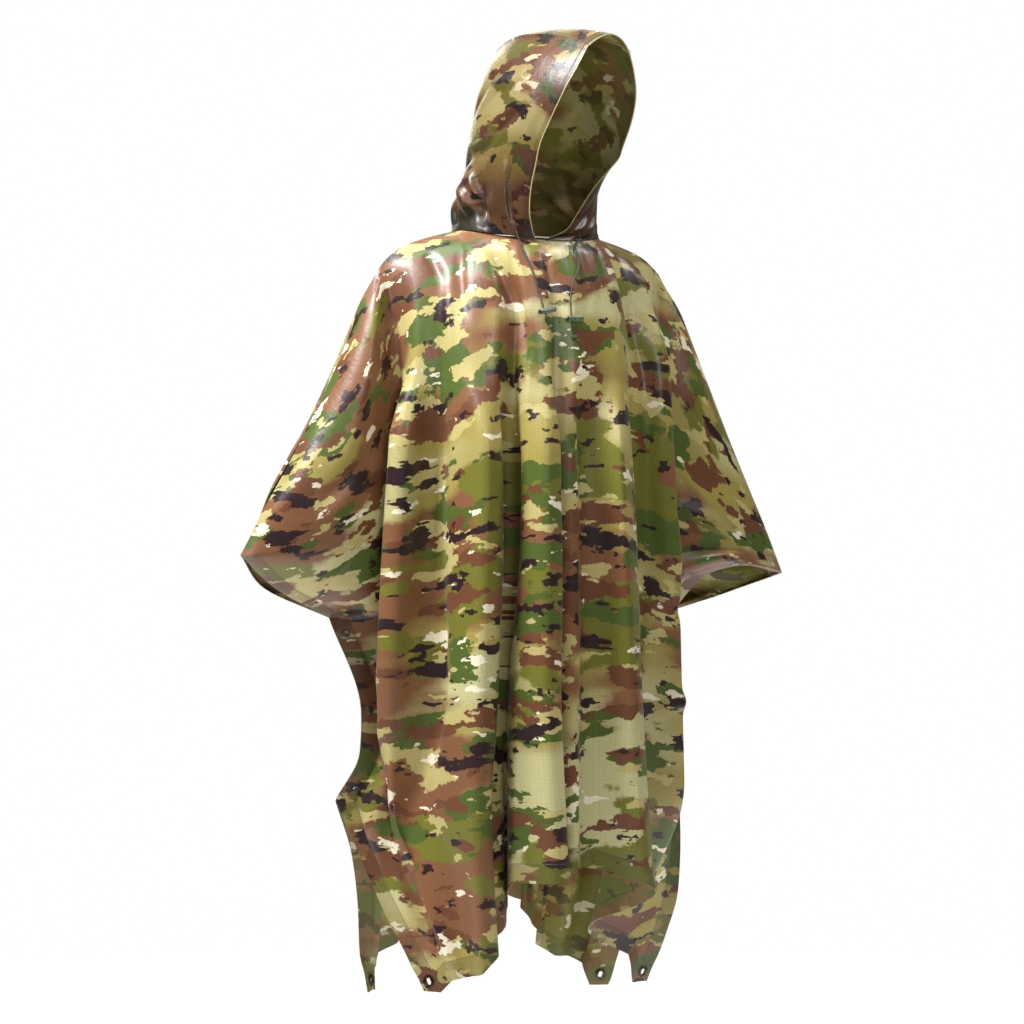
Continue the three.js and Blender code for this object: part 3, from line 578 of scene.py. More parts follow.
FRONT_FOLDS = (
    Fold("armpit valley", -245, (-80, -79, -82, -47), (24, 74, 22, 4), -1079),
    Fold("right side ridge", -196, (-65, -73, -76, -44), (0, 0, 0, 0), -1076),
    Fold("right chest valley", -152, (-56, -60, -65, -41), (14, 20, 18, 6), -1074),
    Fold("right panel", -113, (-42, -45, -50, -35), (0, 0, 2, 4), -1066),
    Fold("right centre ridge", -82, (-30, -32, -33, -30), (0, 0, 0, 0), -1040),
    Fold("right centre valley", -58, (-22, -26, -28.5, -28), (28, 50, 62, 66), -985),
    Fold("pleat, right side", -34, (-17, -20, -24, -25.5), (2, 3, 5, 8), -940),
    Fold("pleat, left side", -10, (-10, -9, -10, -10), (0, 0, 0, 0), -940),
    Fold("behind the pleat", 4, (-9, -10, -12, -13), (10, 20, 30, 40), -930),
    Fold("left panel", 18, (0, -2, -4, -4), (0, 0, 0, 0), -920),
    Fold("left panel dip", 44, (11, 10, 6, 6), (6, 9, 9, 8), -925),
    Fold("left panel ridge", 84, (19, 21, 27, 30), (0, 0, 0, 0), -968),
    Fold("left centre valley", 113, (40, 46, 54, 58), (24, 48, 88, 150), -1036),
    Fold("left side ridge", 175, (50, 55, 62, 92), (0, 0, 0, 105), -1070),
    Fold("left side valley", 245, (68, 72, 76, 93), (18, 56, 20, 75), -1084),
)
BACK_FOLDS = (
    Fold("armpit valley", -245, (-80, -79, -78, -62), (24, 74, 50, 20), -1086),
    Fold("right side ridge", -196, (-66, -69, -70, -58), (0, 0, 0, 0), -1076),
    Fold("right shoulder valley", -152, (-54, -57, -58, -52), (14, 26, 38, 46), -1052),
    Fold("right blade ridge", -113, (-41, -43, -44, -43), (0, 0, 0, 0), -1040),
    Fold("right back valley", -76, (-27, -28, -29, -30), (12, 32, 48, 62), -1010),
    Fold("right middle ridge", -36, (-14, -15, -16, -18), (0, 0, 0, 0), -1002),
    Fold("middle dip", 0, (-1, -1, -2, -3), (8, 14, 20, 26), -998),
    Fold("left middle ridge", 36, (11, 13, 13, 11), (0, 0, 0, 0), -1000),
    Fold("left back valley", 76, (24, 25, 24, 19), (14, 40, 60, 78), -1012),
    Fold("left blade ridge", 113, (37, 38, 35, 27), (0, 0, 0, 0), -1084),
    Fold("left shoulder valley", 152, (50, 50, 46, 33), (15, 30, 34, 26), -1100),
    Fold("left side ridge", 196, (64, 65, 59, 38), (0, 0, 0, 0), -1106),
    Fold("left side valley", 245, (79, 78, 73, 43), (24, 74, 40, 10), -1116),
)
RIGHT_SEAM = ((0.49, -299, 47, -563), (0.632, -262, 14, -700), (0.69, -266, 10, -760), (0.76, -298, 26, -830))
LEFT_SEAM = ((0.49, 276, 38, -560), (0.58, 264, 14, -640), (0.65, 266, 8, -715), (0.73, 270, 12, -800))
FRONT_EDGES = (
    Edge(
        lift=0,
        sleeve=((0.42, -454, 6, -470), (0.455, -398, 22, -516)),
        seam=RIGHT_SEAM,
        hem=(
            (0.854, -264, -4, -928), (0.92, -246, -40, -996),
            (0.967, -230, -70, -1045), (1, -215, -97, -1098),
        ),
    ),
    Edge(
        lift=24,
        sleeve=((0.42, 454, 6, -504), (0.443, 364, -34, -490), (0.467, 312, -8, -503)),
        seam=LEFT_SEAM,
        hem=((0.83, 272, 8, -900), (0.905, 266, 4, -990), (0.96, 246, 10, -1062), (1, 220, 20, -1130)),
    ),
)
BACK_EDGES = (
    Edge(
        lift=0,
        sleeve=((0.42, -454, 6, -470), (0.455, -398, 50, -520)),
        seam=RIGHT_SEAM,
        hem=((0.845, -262, 48, -914), (0.91, -246, 62, -990), (0.96, -243, 62, -1056), (1, -232, 58, -1122)),
    ),
    Edge(
        lift=0,
        sleeve=((0.42, 454, 6, -504), (0.455, 372, 44, -536)),
        seam=LEFT_SEAM,
        hem=((0.83, 266, 50, -900), (0.9, 250, 82, -985), (0.955, 230, 102, -1062), (1, 208, 120, -1149)),
    ),
)


# Places along the shoulder between which the cloth changes from the body's swing to the arm's.
SWING = (150, 420)

# The sleeve: how its hem gathers to the tip, over what share its band turns to the armpit fold,
# how much of the room the band may take, from what share the cloth is lifted, and how the lift and
# the bulge lean outwards.
SLEEVE_EASE = 1.1
SEAM_BLEND = 0.12
BAND_ROOM = 0.55
LIFT_START = 0.2
LIFT_LEAN = 1.2
BULGE_LEAN = 1.5

# The least share of a normal along Y, and the share of an arm over which its own cut takes over.
LEAST_FACING = 0.5
OWN_CUT = 0.5

# Where relief is calmed at the sides and at the top, a distance past every hem, where the hem band
# ends, how much thicker it is, and the share over which it begins below the sleeve's tip.
CALM_SIDE = (4, 60)
CALM_TOP = (0, 40)
FAR = 400
HEM_STEP = (HEM_BAND - 3, HEM_BAND + 1)
HEM_MORE = 0.9
TIP_STEP = 0.01


@dataclass(frozen=True)
class Panel:
    """The front or the back half of the cloth, from the neck and shoulder line to the hem.

    Args:
        name: the piece's name.
        node: the solid that it stands for.
        face: front or back.
        folds: its fold lines, from the wearer's right to left.
        edges: its right and left side edges.
        flat: width and length that it was cut to, in metres; not used.
        area: the area of that cut in square metres; not used.
        creases: long folds and smaller creases, across and down the cut in millimetres.
        net_steps: grid steps from one fold line to the next.
        arm_steps: grid steps over each arm.
        bands: first and last share of the cut, and the grid steps between them, from the top.
    """

    name: str
    node: str
    face: Face
    folds: tuple[Fold, ...]
    edges: tuple[Edge, Edge]
    flat: tuple[float, float]
    area: float
    creases: tuple[Crease | LongFold, ...]
    net_steps: int = 10
    arm_steps: int = 52
    bands: tuple[tuple[float, float, int], ...] = ((0, 0.42, 74), (0.42, 0.49, 16), (0.49, 1, 92))

    def shares(self) -> Array:
        """Shares of the cut at which the rows lie."""
        rows = [np.linspace(low, high, count, endpoint=False) for low, high, count in self.bands]
        return np.append(np.concatenate(rows), 1.0)

    def net(self, share: Array) -> Array:
        """The fold lines' places on the hanging ring, for each share: out from the middle by the
        ring's half sizes less the inset, at the fold's turn, and down at the level of its hem."""
        levels = np.array(LEVELS)
        wide, deep = section(share)[:, 3:5].T
        made = []
        for fold in self.folds:
            turn = np.radians(through(levels, fold.turn)(np.maximum(share, levels[0])))
            inset = through((0, *levels), (0, *fold.inset))(share)
            x, y = (wide - inset) * np.sin(turn), self.face.value * (deep - inset) * np.cos(turn)
            made.append(np.stack([x, y, np.full_like(x, fold.level)], axis=-1))
        return np.stack(made, axis=1)

    def body_points(self, share: Array) -> Array:
        """The cloth between the armpits: each place swung from the shoulder line to the ring."""
        face = self.face.value
        tops = np.array([[(fold.top,) for fold in self.folds]], float)
        place = fair(tops, self.net_steps)[0, :, 0]
        net = self.net(share)
        ring = fair(net, self.net_steps)
        steps = np.arange(ring.shape[1]) / self.net_steps
        ring[..., 2] = np.interp(steps, np.arange(len(self.folds)), net[0, :, 2])
        start = shoulder_line(place, face)[None]
        fall, body, arm = section(share)[:, :3].T[..., None]
        swing = mix(body, arm, smooth(np.abs(place), *SWING))
        swings = np.stack([swing, swing, np.broadcast_to(fall, swing.shape)], axis=-1)
        return mix(start, ring, swings)

    def arm_points(self, valley: Array, share: Array, side: Side) -> Array:
        """The cloth over an arm, from the armpit fold out to the side edge: it bulges out, turns
        over the arm, and below the underarm ends in a hem band that lies flat.

        Args:
            valley: the armpit fold's place in each row.
            share: the row's share of the cut.
            side: the wearer's side.

        Returns:
            The places, from the fold outwards.
        """
        face, edge = self.face.value, self.edges[0 if side is Side.RIGHT else 1]
        reach = share / SLEEVE_TIP
        along = side.value * mix(SLEEVE_START, HALF_SPAN, np.minimum(reach, 1) ** SLEEVE_EASE)
        end = np.where((reach < 1)[:, None], shoulder_line(along, face), edge.path(share))
        end[:, 2] -= np.where(reach < 1, side.value * ARM_TILT * reach**2, 0)
        last = edge.seam[-1][0]
        fold = np.full_like(share, side.value * SIDE_FOLD)
        aim = np.stack([fold, np.zeros_like(share), end[:, 2]], axis=-1)
        aim = mix(aim, valley, smooth(share, last, last + SEAM_BLEND)[:, None])
        aim[:, 2] = end[:, 2]
        room = np.linalg.norm(end - valley, axis=-1)
        inward = unit(aim - end) * np.minimum(HEM_BAND, BAND_ROOM * room)[:, None]
        closed = smooth(share, SLEEVE_TIP, SLEEVE_UNDER)[:, None]
        raised = edge.lift * smooth(share, LIFT_START, SLEEVE_TIP)[:, None] * (1 - closed)
        full = section(share)[:, 5][:, None]
        c = np.linspace(0, 1, self.arm_steps + 1)[1:][None]
        over = np.maximum(0, (c - SLEEVE_ROUND) / (1 - SLEEVE_ROUND))
        out = smooth(c, 0, SLEEVE_ROUND) * np.sqrt(1 - over**2)
        sleeve = mix(valley[:, None], end[:, None], c[..., None])
        sleeve[..., 1] += face * full * out
        sleeve[..., 2] += raised * np.sin(np.pi * c**LIFT_LEAN)
        near = np.minimum(1, c / SLEEVE_BAND)
        root = mix(valley[:, None], (end + inward)[:, None], near[..., None])
        root[..., 1] += face * full * np.sin(np.pi * near**BULGE_LEAN)
        flat = mix(root, end[:, None], np.maximum(0, (c - SLEEVE_BAND) / (1 - SLEEVE_BAND))[..., None])
        return mix(sleeve, flat, closed[..., None])

    def surface(self) -> Array:
        """The middle of the cloth as rows of points from the wearer's right to left, moved off the
        surface that it shares with the other half."""
        share = self.shares()
        body = self.body_points(share)
        right = self.arm_points(body[:, 0], share, Side.RIGHT)[:, ::-1]
        left = self.arm_points(body[:, -1], share, Side.LEFT)
        points = np.concatenate([right, body, left], axis=1)
        normals = grid_normals(points)
        band = int(self.arm_steps * (1 - SLEEVE_BAND)) + 1
        normals[:, :band], normals[:, -band:] = normals[:, :1], normals[:, -1:]
        closed = smooth(share, SLEEVE_TIP, SLEEVE_UNDER)[:, None]
        facing = np.abs(normals[..., 1])
        rim = RIM_GAP + CLOTH_THICK / 2 * facing
        flat = (GAP / 2 + WALL / 2 + TWIST_EASE) / np.maximum(LEAST_FACING, facing)
        points[..., 1] += self.face.value * mix(rim, flat, closed)
        return points

    def guess(self, points: Array) -> Array:
        """A first guess of the cut: lengths along the rows from the middle and down the columns,
        and past the armpit folds the places along the arm and off it.

        Args:
            points: the surface.

        Returns:
            Across and down for each point.
        """
        central = int(np.argmin(np.abs([fold.top for fold in self.folds])))
        middle = self.arm_steps + central * self.net_steps
        across = run_lengths(points, 1)
        across = across - across[:, middle : middle + 1]
        down = run_lengths(points, 0)
        flat = np.stack([across, down], axis=-1)
        first = SHOULDER[ARM_START]
        arm = unit(SHOULDER[-1] - first)[[0, 2]]
        for side, columns, fold in (
            (Side.RIGHT, slice(0, self.arm_steps), self.arm_steps),
            (Side.LEFT, slice(-self.arm_steps, None), -self.arm_steps - 1),
        ):
            x = side.value * points[:, columns, 0] - first[0]
            z = points[:, columns, 2] - first[2]
            along = SHOULDER_RUNS[ARM_START] + x * arm[0] + z * arm[1]
            below = x * arm[1] - z * arm[0] + np.abs(points[:, columns, 1] - first[1])
            own = np.stack([side.value * along, below], axis=-1)
            c = np.linspace(0, 1, self.arm_steps + 1)[1:]
            c = c[::-1] if side is Side.RIGHT else c
            low = 1 - smooth(self.shares(), SLEEVE_TIP, SLEEVE_UNDER)[:, None]
            blend = (smooth(c, 0, OWN_CUT)[None] * low)[..., None]
            flat[:, columns] = mix(flat[:, columns], own, blend)
        return flat

    def build(self, holes: Sequence[tuple[Array, Array]]) -> bpy.types.Object:
        """Makes the half's cloth, with its creases, hem bands and holes.

        Args:
            holes: centre and axis of each corner ring that goes through it.

        Returns:
            The piece.
        """
        points = self.surface()
        cut = lay_flat(points, self.guess(points))
        across, down = cut[..., 0], cut[..., 1]
        relief = sum(crease.relief(across, down) for crease in self.creases)
        normals = grid_normals(points) * self.face.value
        lengths = run_lengths(points, 0)
        to_hem = lengths[-1] - lengths
        spans = run_lengths(points, 1)
        to_side = np.minimum(spans, spans[:, -1:] - spans)
        top = 1 - smooth(self.shares(), SLEEVE_TIP - TIP_STEP, SLEEVE_TIP)[:, None]
        to_side = to_side + top * FAR
        calm = smooth(to_side, *CALM_SIDE) * smooth(lengths, *CALM_TOP)
        points = points + normals * (relief * calm)[..., None]
        hole = np.zeros((points.shape[0] - 1, points.shape[1] - 1), bool)
        for centre, axis in holes:
            points, cell = open_ring(points, centre, axis)
            hole[cell] = True
        band = 1 - smooth(np.minimum(to_hem, to_side), *HEM_STEP)
        maps = {
            "cut": cut * (1, -self.face.value) * MM,
            "hem": np.stack([to_side, to_hem], axis=-1) * MM,
        }
        thick = CLOTH_THICK * (1 + HEM_MORE * band)
        piece = shell(self.name, points, thick, maps, hole=hole, turned=self.face is Face.FRONT)
        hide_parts(self.node)
        return piece


# Reaches about a corner ring: where the cloth is flat, where it shifts, its barrel and the push.
RING_FLAT = (16, 46)
RING_SHIFT = (10, 34)
RING_BARREL = 6.6
RING_PUSH = 13


def open_ring(points: Array, centre: Array, axis: Array) -> tuple[Array, tuple[int, int]]:
    """Presses a cloth flat about a ring and opens one cell of its grid under the ring's flange.

    Points near the ring move onto its plane. Then the cell nearest the centre moves over it, and
    each point near it moves out from the centre, the cell's corners as far as the ring's barrel.

    Args:
        points: the grid.
        centre: the ring's middle.
        axis: the way through it.

    Returns:
        The new grid and the cell that stays open.
    """
    offset = points - centre
    near = 1 - smooth(np.linalg.norm(offset, axis=-1), *RING_FLAT)
    points = points - axis * ((offset @ axis) * near)[..., None]
    middles = (points[:-1, :-1] + points[1:, :-1] + points[:-1, 1:] + points[1:, 1:]) / 4
    cell = np.unravel_index(np.linalg.norm(middles - centre, axis=-1).argmin(), middles.shape[:2])
    reach = 1 - smooth(np.linalg.norm(points - centre, axis=-1), *RING_SHIFT)
    points = points + (centre - middles[cell]) * reach[..., None]
    offset = points - centre
    away = np.linalg.norm(offset, axis=-1, keepdims=True)
    pushed = np.sqrt(away**2 + RING_BARREL**2 * np.exp(-((away / RING_PUSH) ** 2)))
    return centre + offset * pushed / np.maximum(away, 1e-6), (int(cell[0]), int(cell[1]))


# The hood

HOOD_TURN = 11.0
EDGE_TOP = 263.0
BACK_TOP = 282.0
CROWN = 22.0
STRIP_HALF = 38.0
HOOD_FOOT = 300.0
STAND = WALL / 2 + GAP

# The height up to which the neck's level moves the hood, and the share over which folds fade in.
SEAT_HEIGHT = 120.0
FOLD_FOOT = 0.06

# Where relief is calmed at a seam, the foot and the face edge, where the binding and the seams end,
# how much thicker they are, and where the pieces lie across the print.
CALM_SEAM = (2, 25)
CALM_FOOT = (0, 14)
CALM_EDGE = (0, 18)
BINDING = (8, 10)
SEAM_BAND = (9, 11)
BINDING_MORE = 1.2
SEAM_MORE = 0.8
SIDE_CUT = 60
STRIP_CUT = -240

# The strip: the share at which it turns down behind, its height over the seams there and on the
# way, how far it keeps off the seams' corner, and the share over which its course is taken.
STRIP_TURN = 0.47
strip_arch = through((0, 0.2, 0.45, 0.7, 1), (20, 11, 9, 9, 6))
CORNER_IN = 0.6
CORNER_REACH = 0.04
COURSE_STEP = 0.02

HOOD_SECTIONS = np.array([
    # level, wide, middle, edge, right, left, back
    (0.0, 113, 0, 98, 57, -42, 99),
    (0.05, 109, 2, 101, 65, -10, 98.5),
    (0.14, 104, 5, 105, 73, 14, 97),
    (0.28, 99, 12, 116, 77, 40, 86),
    (0.36, 98, 17, 124, 77, 58, 82),
    (0.46, 97, 23, 133, 77, 76, 76),
    (0.6, 95, 36, 155, 74, 75, 67),
    (0.75, 90, 46, 177, 67, 68, 56),
    (0.88, 76, 58, 190, 53, 54, 42),
    (1.0, 44, 68, 197, 38, 38, 18),
])
hood_section = through(HOOD_SECTIONS[:, 0], HOOD_SECTIONS[:, 1:])


@dataclass(frozen=True)
class HoodFold:
    """A fold of a hood side, a bell about its middle.

    Args:
        name: what it is.
        along: its middle's share of the way from the face edge to the back seam.
        level: its middle's share of the height.
        wide: its reach along.
        tall: its reach up.
        lean: how far it runs back as it rises.
        out: how far it stands out.
    """

    name: str
    along: float
    level: float
    wide: float
    tall: float
    lean: float
    out: float


HOOD_FOLDS = {
    Side.RIGHT: (
        HoodFold("buckled tongue", 0.47, 0.23, 0.11, 0.13, 0.2, 14),
        HoodFold("hollow before it", 0.33, 0.17, 0.07, 0.12, 0.3, -8),
        HoodFold("hollow below it", 0.45, 0.07, 0.1, 0.05, 0, -6),
        HoodFold("front ridge", 0.2, 0.22, 0.06, 0.16, 0.1, 6),
        HoodFold("nape bulge", 0.68, 0.13, 0.09, 0.09, 0, 8),
    ),
    Side.LEFT: (
        HoodFold("lap's rolled foot", 0.1, 0.06, 0.2, 0.05, 0, 7),
        HoodFold("lap's hollow", 0.3, 0.2, 0.09, 0.14, 0.3, -6),
        HoodFold("left ridge", 0.5, 0.16, 0.1, 0.12, 0.2, 8),
    ),
}


def hood_side(along: Array, level: Array, side: Side) -> Array:
    """Places on a hood side, drawn on the left: each level is part of an oval round the head, from
    the face edge to the back seam, and each fold adds a bell to it.

    Args:
        along: 0 at the face edge and 1 at the back seam.
        level: 0 at the neck and 1 at the top seam.
        side: whose folds and face edge it has.

    Returns:
        The places before the hood is turned and seated.
    """
    along, level = np.broadcast_arrays(along, level)
    wide, middle, edge, right, left, back = np.moveaxis(hood_section(level), -1, 0)
    start = np.arcsin((right if side is Side.RIGHT else left) / wide)
    end = np.pi - np.arcsin(STRIP_HALF / wide)
    turn = mix(start, end, along)
    ahead, behind = (edge - middle) / np.cos(start), (back + middle) / -np.cos(end)
    reach = np.where(np.cos(turn) > 0, ahead, behind)
    forward = middle + reach * np.cos(turn)
    height = mix(EDGE_TOP, BACK_TOP, along) * level + CROWN * level**4 * 4 * along * (1 - along)
    out = np.zeros(along.shape)
    for fold in HOOD_FOLDS[side]:
        across = (along - fold.along - fold.lean * (level - fold.level)) / fold.wide
        out += fold.out * np.exp(-(across**2) - ((level - fold.level) / fold.tall) ** 2)
    out *= smooth(level, 0, FOLD_FOOT)
    return np.stack([(wide + out) * np.sin(turn), -forward - out * np.cos(turn), height], axis=-1)


def seat(points: Array) -> Array:
    """Turns the hood to where it faces, and sets its foot on the neck."""
    angle = math.radians(HOOD_TURN)
    x, y, z = np.moveaxis(points, -1, 0)
    x, y = x * math.cos(angle) - y * math.sin(angle), x * math.sin(angle) + y * math.cos(angle)
    turn = np.arctan2(x, -y)
    behind = np.abs(turn) >= np.pi / 2
    from_middle = np.where(behind, np.sign(turn) * (np.pi - np.abs(turn)), turn)
    foot = neck_ring(from_middle, np.where(behind, 1, -1))
    low = 1 - smooth(z, 0, SEAT_HEIGHT)
    return np.stack([x, y, z + STAND + foot[..., 2] * low], axis=-1)


# Creases of the hood sides, along from the face edge and up from the neck.
HOOD_CREASES = {
    Side.RIGHT: creases(
        (45, 115, 22, 14, 5, -4, 3), (56, 110, 34, 6, 5, 4, -4), (128, 92, 66, 40, 7, 7, 10),
        (66, 62, 62, 8, 5, 5), (92, 62, 80, 14, 8, -9), (150, 70, 110, 20, 8, 6, -8),
        (170, 52, 150, 8, 7, -6), (120, 120, 200, 80, 10, -6, 8), (60, 190, 112, 118, 10, -5, 6),
        (100, 240, 160, 200, 12, 4, 8), (20, 150, 60, 222, 9, 3.5), (90, 150, 170, 130, 8, 5, -6),
        (140, 250, 196, 170, 10, -4, 5),
    ),
    Side.LEFT: creases(
        (30, 92, 10, 20, 8, -5), (72, 112, 40, 10, 8, 6, 8), (110, 82, 92, 10, 8, -7),
        (150, 104, 180, 20, 9, 6), (60, 192, 122, 120, 11, -5), (192, 72, 162, 10, 8, -6),
        (110, 230, 170, 190, 12, 4, 6), (90, 150, 170, 120, 9, 5, -6),
    ),
}


@dataclass(frozen=True)
class Hood:
    """The three-piece hood: a right and a left side with a strip between them over the head.

    Args:
        columns: grid steps from the face edge to the back seam.
        rows: grid steps from the neck to the top seam.
        strip_columns: grid steps over the strip.
        strip_rows: grid steps from the brim to the nape.
    """

    columns: int = 110
    rows: int = 96
    strip_columns: int = 26
    strip_rows: int = 170

    @staticmethod
    def thickness(to_edge: Array, to_seam: Array) -> Array:
        """The cloth's thickness by the distances to the face edge and to the nearest seam."""
        edge, seam = 1 - smooth(to_edge, *BINDING), 1 - smooth(to_seam, *SEAM_BAND)
        return CLOTH_THICK * (1 + BINDING_MORE * edge + SEAM_MORE * seam)

    def side_cloth(self, side: Side) -> bpy.types.Object:
        """Makes one side, its face edge bound and its seams a little thicker."""
        along = np.linspace(0, 1, self.columns + 1)[None]
        level = np.linspace(0, 1, self.rows + 1)[:, None]
        points = seat(hood_side(along, level, side) * (side.value, 1, 1))
        lengths, heights = run_lengths(points, 1), run_lengths(points, 0)
        relief = sum(crease.relief(lengths, heights) for crease in HOOD_CREASES[side])
        to_seam = np.minimum(lengths[:, -1:] - lengths, heights[-1:] - heights)
        calm = smooth(to_seam, *CALM_SEAM) * smooth(heights, *CALM_FOOT) * smooth(lengths, *CALM_EDGE)
        normals = grid_normals(points) * side.value
        points = points + normals * (relief * calm)[..., None]
        maps = {
            "cut": np.stack([lengths + SIDE_CUT, HOOD_FOOT - heights], axis=-1) * MM,
            "hem": np.stack([lengths, to_seam], axis=-1) * MM,
        }
        name = side.name.lower()
        thick = self.thickness(lengths, np.minimum(to_seam, heights))
        piece = shell(f"hood_{name}_cloth", points, thick, maps, turned=side is Side.RIGHT)
        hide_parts(f"hood_{name}")
        return piece

    def strip_cloth(self) -> bpy.types.Object:
        """Makes the strip: it follows the sides' seams over the head, arched between them."""

        def seam(share: Array) -> Array:
            """The sides' seam by share of its way from the brim to the nape."""
            whole = np.ones_like(share)
            top = hood_side(np.clip(share / STRIP_TURN, 0, 1), whole, Side.LEFT)
            behind = hood_side(whole, np.clip((1 - share) / (1 - STRIP_TURN), 0, 1), Side.LEFT)
            return np.where((share < STRIP_TURN)[:, None], top, behind)

        share = np.linspace(0, 1, self.strip_rows + 1)
        edge = seam(share)
        course = seam(np.minimum(share + COURSE_STEP, 1)) - seam(np.maximum(share - COURSE_STEP, 0))
        out = unit(np.stack([np.zeros_like(share), -course[:, 2], course[:, 1]], axis=-1))
        out = np.where(((out[:, 2] < 0) & (share < 0.5))[:, None], -out, out)
        corner = CORNER_IN * np.exp(-(((share - STRIP_TURN) / CORNER_REACH) ** 2))
        half = edge[:, 0] - GAP - WALL / 2 - corner
        across = np.linspace(-1, 1, self.strip_columns + 1)
        flat = np.stack(np.broadcast_arrays(half[:, None] * across, edge[:, 1:2], edge[:, 2:3]), axis=-1)
        arch = strip_arch(share)[:, None] * (1 - across**2)
        points = seat(flat + out[:, None] * arch[..., None])
        lengths, widths = run_lengths(points, 0), run_lengths(points, 1)
        to_seam = np.minimum(widths, widths[:, -1:] - widths)
        maps = {
            "cut": np.stack([widths + STRIP_CUT, lengths - lengths[-1:] + HOOD_FOOT], axis=-1) * MM,
            "hem": np.stack([lengths, to_seam], axis=-1) * MM,
        }
        piece = shell("hood_strip_cloth", points, self.thickness(lengths, to_seam), maps)
        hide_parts("hood_strip")
        return piece


# Drawstrings

CORD_STEP = 1.2
CORD_SIDES = 14
RIGHT_STRING = (
    (-63.9, -98.8, 2.2), (-62, -106, -16.4), (-60.8, -118.8, -33.3), (-58.7, -126, -45.4),
    (-55, -132.9, -59.7), (-52.2, -139.2, -76), (-50.2, -144.2, -90.4), (-49.2, -151, -104),
    (-47.6, -155.5, -117), (-44.4, -158.6, -128), (-40.4, -159, -136.6),
)
LEFT_STRING = (
    (36.5, -102.6, 4.1), (36, -104.6, -5.6), (26.7, -111.6, -14.8), (21, -124.6, -26.4),
    (22.4, -130.2, -37.8), (19.2, -136, -50.2), (11.1, -140.4, -65.2), (3.7, -144.2, -78.8),
    (-0.8, -148.8, -92.2), (-3.2, -153, -110), (-3.7, -157.9, -127), (-2.2, -160.6, -138),
    (-0.6, -161.6, -150.4),
)


def rounded(points: Sequence[Place], step: float) -> Array:
    """A smooth line through points: a cubic between each two over the square root of their
    distances, with the slope at each taken from its neighbours.

    Args:
        points: the places it goes through.
        step: about how far apart the new places are.

    Returns:
        The new places.
    """
    line = np.array(points, float)
    line = np.concatenate([[2 * line[0] - line[1]], line, [2 * line[-1] - line[-2]]])
    knots = np.concatenate([[0], np.cumsum(np.linalg.norm(np.diff(line, axis=0), axis=-1) ** 0.5)])
    made = []
    for k in range(1, len(line) - 2):
        count = max(2, round(float(np.linalg.norm(line[k + 1] - line[k])) / step))
        t = np.linspace(knots[k], knots[k + 1], count, endpoint=False)[:, None]
        a1, a2, a3 = (
            ((knots[i + 1] - t) * line[i] + (t - knots[i]) * line[i + 1]) / (knots[i + 1] - knots[i])
            for i in (k - 1, k, k + 1)
        )
        b1, b2 = (
            ((knots[i + 2] - t) * a + (t - knots[i]) * b) / (knots[i + 2] - knots[i])
            for i, a, b in ((k - 1, a1, a2), (k, a2, a3))
        )
        made.append(((knots[k + 1] - t) * b1 + (t - knots[k]) * b2) / (knots[k + 1] - knots[k]))
    return np.concatenate([*made, line[-2:-1]])


@dataclass(frozen=True)
class Drawstring:
    """A thin round cord from the hood's foot down through its barrel lock to a knot.

    Args:
        side: the wearer's side.
        points: the places of its middle line.
        thick: its diameter.
    """

    side: Side
    points: tuple[Place, ...]
    thick: float = 2.5

    def build(self, nodes: dict[str, bpy.types.Object]) -> bpy.types.Object:
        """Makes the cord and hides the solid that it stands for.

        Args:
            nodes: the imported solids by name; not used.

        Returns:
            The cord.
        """
        name = self.side.name.lower()
        path = rounded(self.points, CORD_STEP)
        piece = tube(f"drawstring_{name}_cord", path, np.full(len(path), self.thick / 2), CORD_SIDES)
        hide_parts(f"drawstring_{name}")
        return piece


# Finishes

# Noises as scale, detail and roughness. The cloud that blots are cut from takes its scale from them.
CLOUD_NOISE = (2.5, 0.52)
TORN_NOISE = (85.0, 3, 0.6)
CRUMPLE_NOISE = (26.0, 4, 0.55)
PATCH_NOISE = (190.0, 4, 0.6)
FINE_NOISE = (1400.0, 3, 0.6)

# Factors along the cut, above 1 where a noise is squashed and below 1 where it is stretched.
BLOT_SQUASH = (1.0, 1.8, 1.0)
TORN_SQUASH = (1.0, 1.3, 1.0)
CRUMPLE_STRETCH = (1, 0.55, 1)

# Distances in metres between which a stitch's thread, its end and the groove about it fade.
THREAD = (0.00025, 0.0006)
DASH = (0.00025, 0.0005)
GROOVE = (0.0004, 0.003)

# Heights of a stitch and of a thicker thread, in metres, and what is laid over the print: the
# colour and its share.
STITCH_HIGH = 0.0003
LINE_HIGH = 0.00005
LINE_TINT = "2c2a1a"
LINE_SHARE = 0.16
# Painted shade on the hem bands, where the doubled cloth would let less light through: a near-black tint, its
# share and how far its edge fades, in metres.
HEM_PAINTED_SHADE = (0.02, 0.018, 0.01, 1)
HEM_PAINTED_SHADE_SHARE = 0.3
HEM_PAINTED_SHADE_FADE = 0.002
# The stitches' thread: its colour and its share.
THREAD_COLOUR = "57533a"
THREAD_SHARE = 0.7
# Painted shade laid over a cloth's outside: a brown tint that darkens it.
PAINTED_SHADE_TINT = "8f7c52"
# A purple-brown tint at the hood's foot, partly the print's colour and partly a painted sheen of the coating,
# and the places down the cut between which it fades in, in metres.
FOOT_PRINT_AND_SHEEN_TINT = "8c4a56"
FOOT_PLACES = (0.13, 0.25)
# A painted highlight along the hood's face edge: a pale strip, its share, and the share of its width from
# which it fades out.
EDGE_HIGHLIGHT_COLOUR = "b5aa78"
EDGE_HIGHLIGHT_SHARE = 0.8
EDGE_HIGHLIGHT_FADE = 0.6
# Painted light on the cloth's inside, standing for light that comes through the thin cloth: a pale yellow
# tint.
INSIDE_PAINTED_LIGHT_COLOUR = "b9b055"
# How much rougher the inside is.
INSIDE_ROUGHER = 0.15

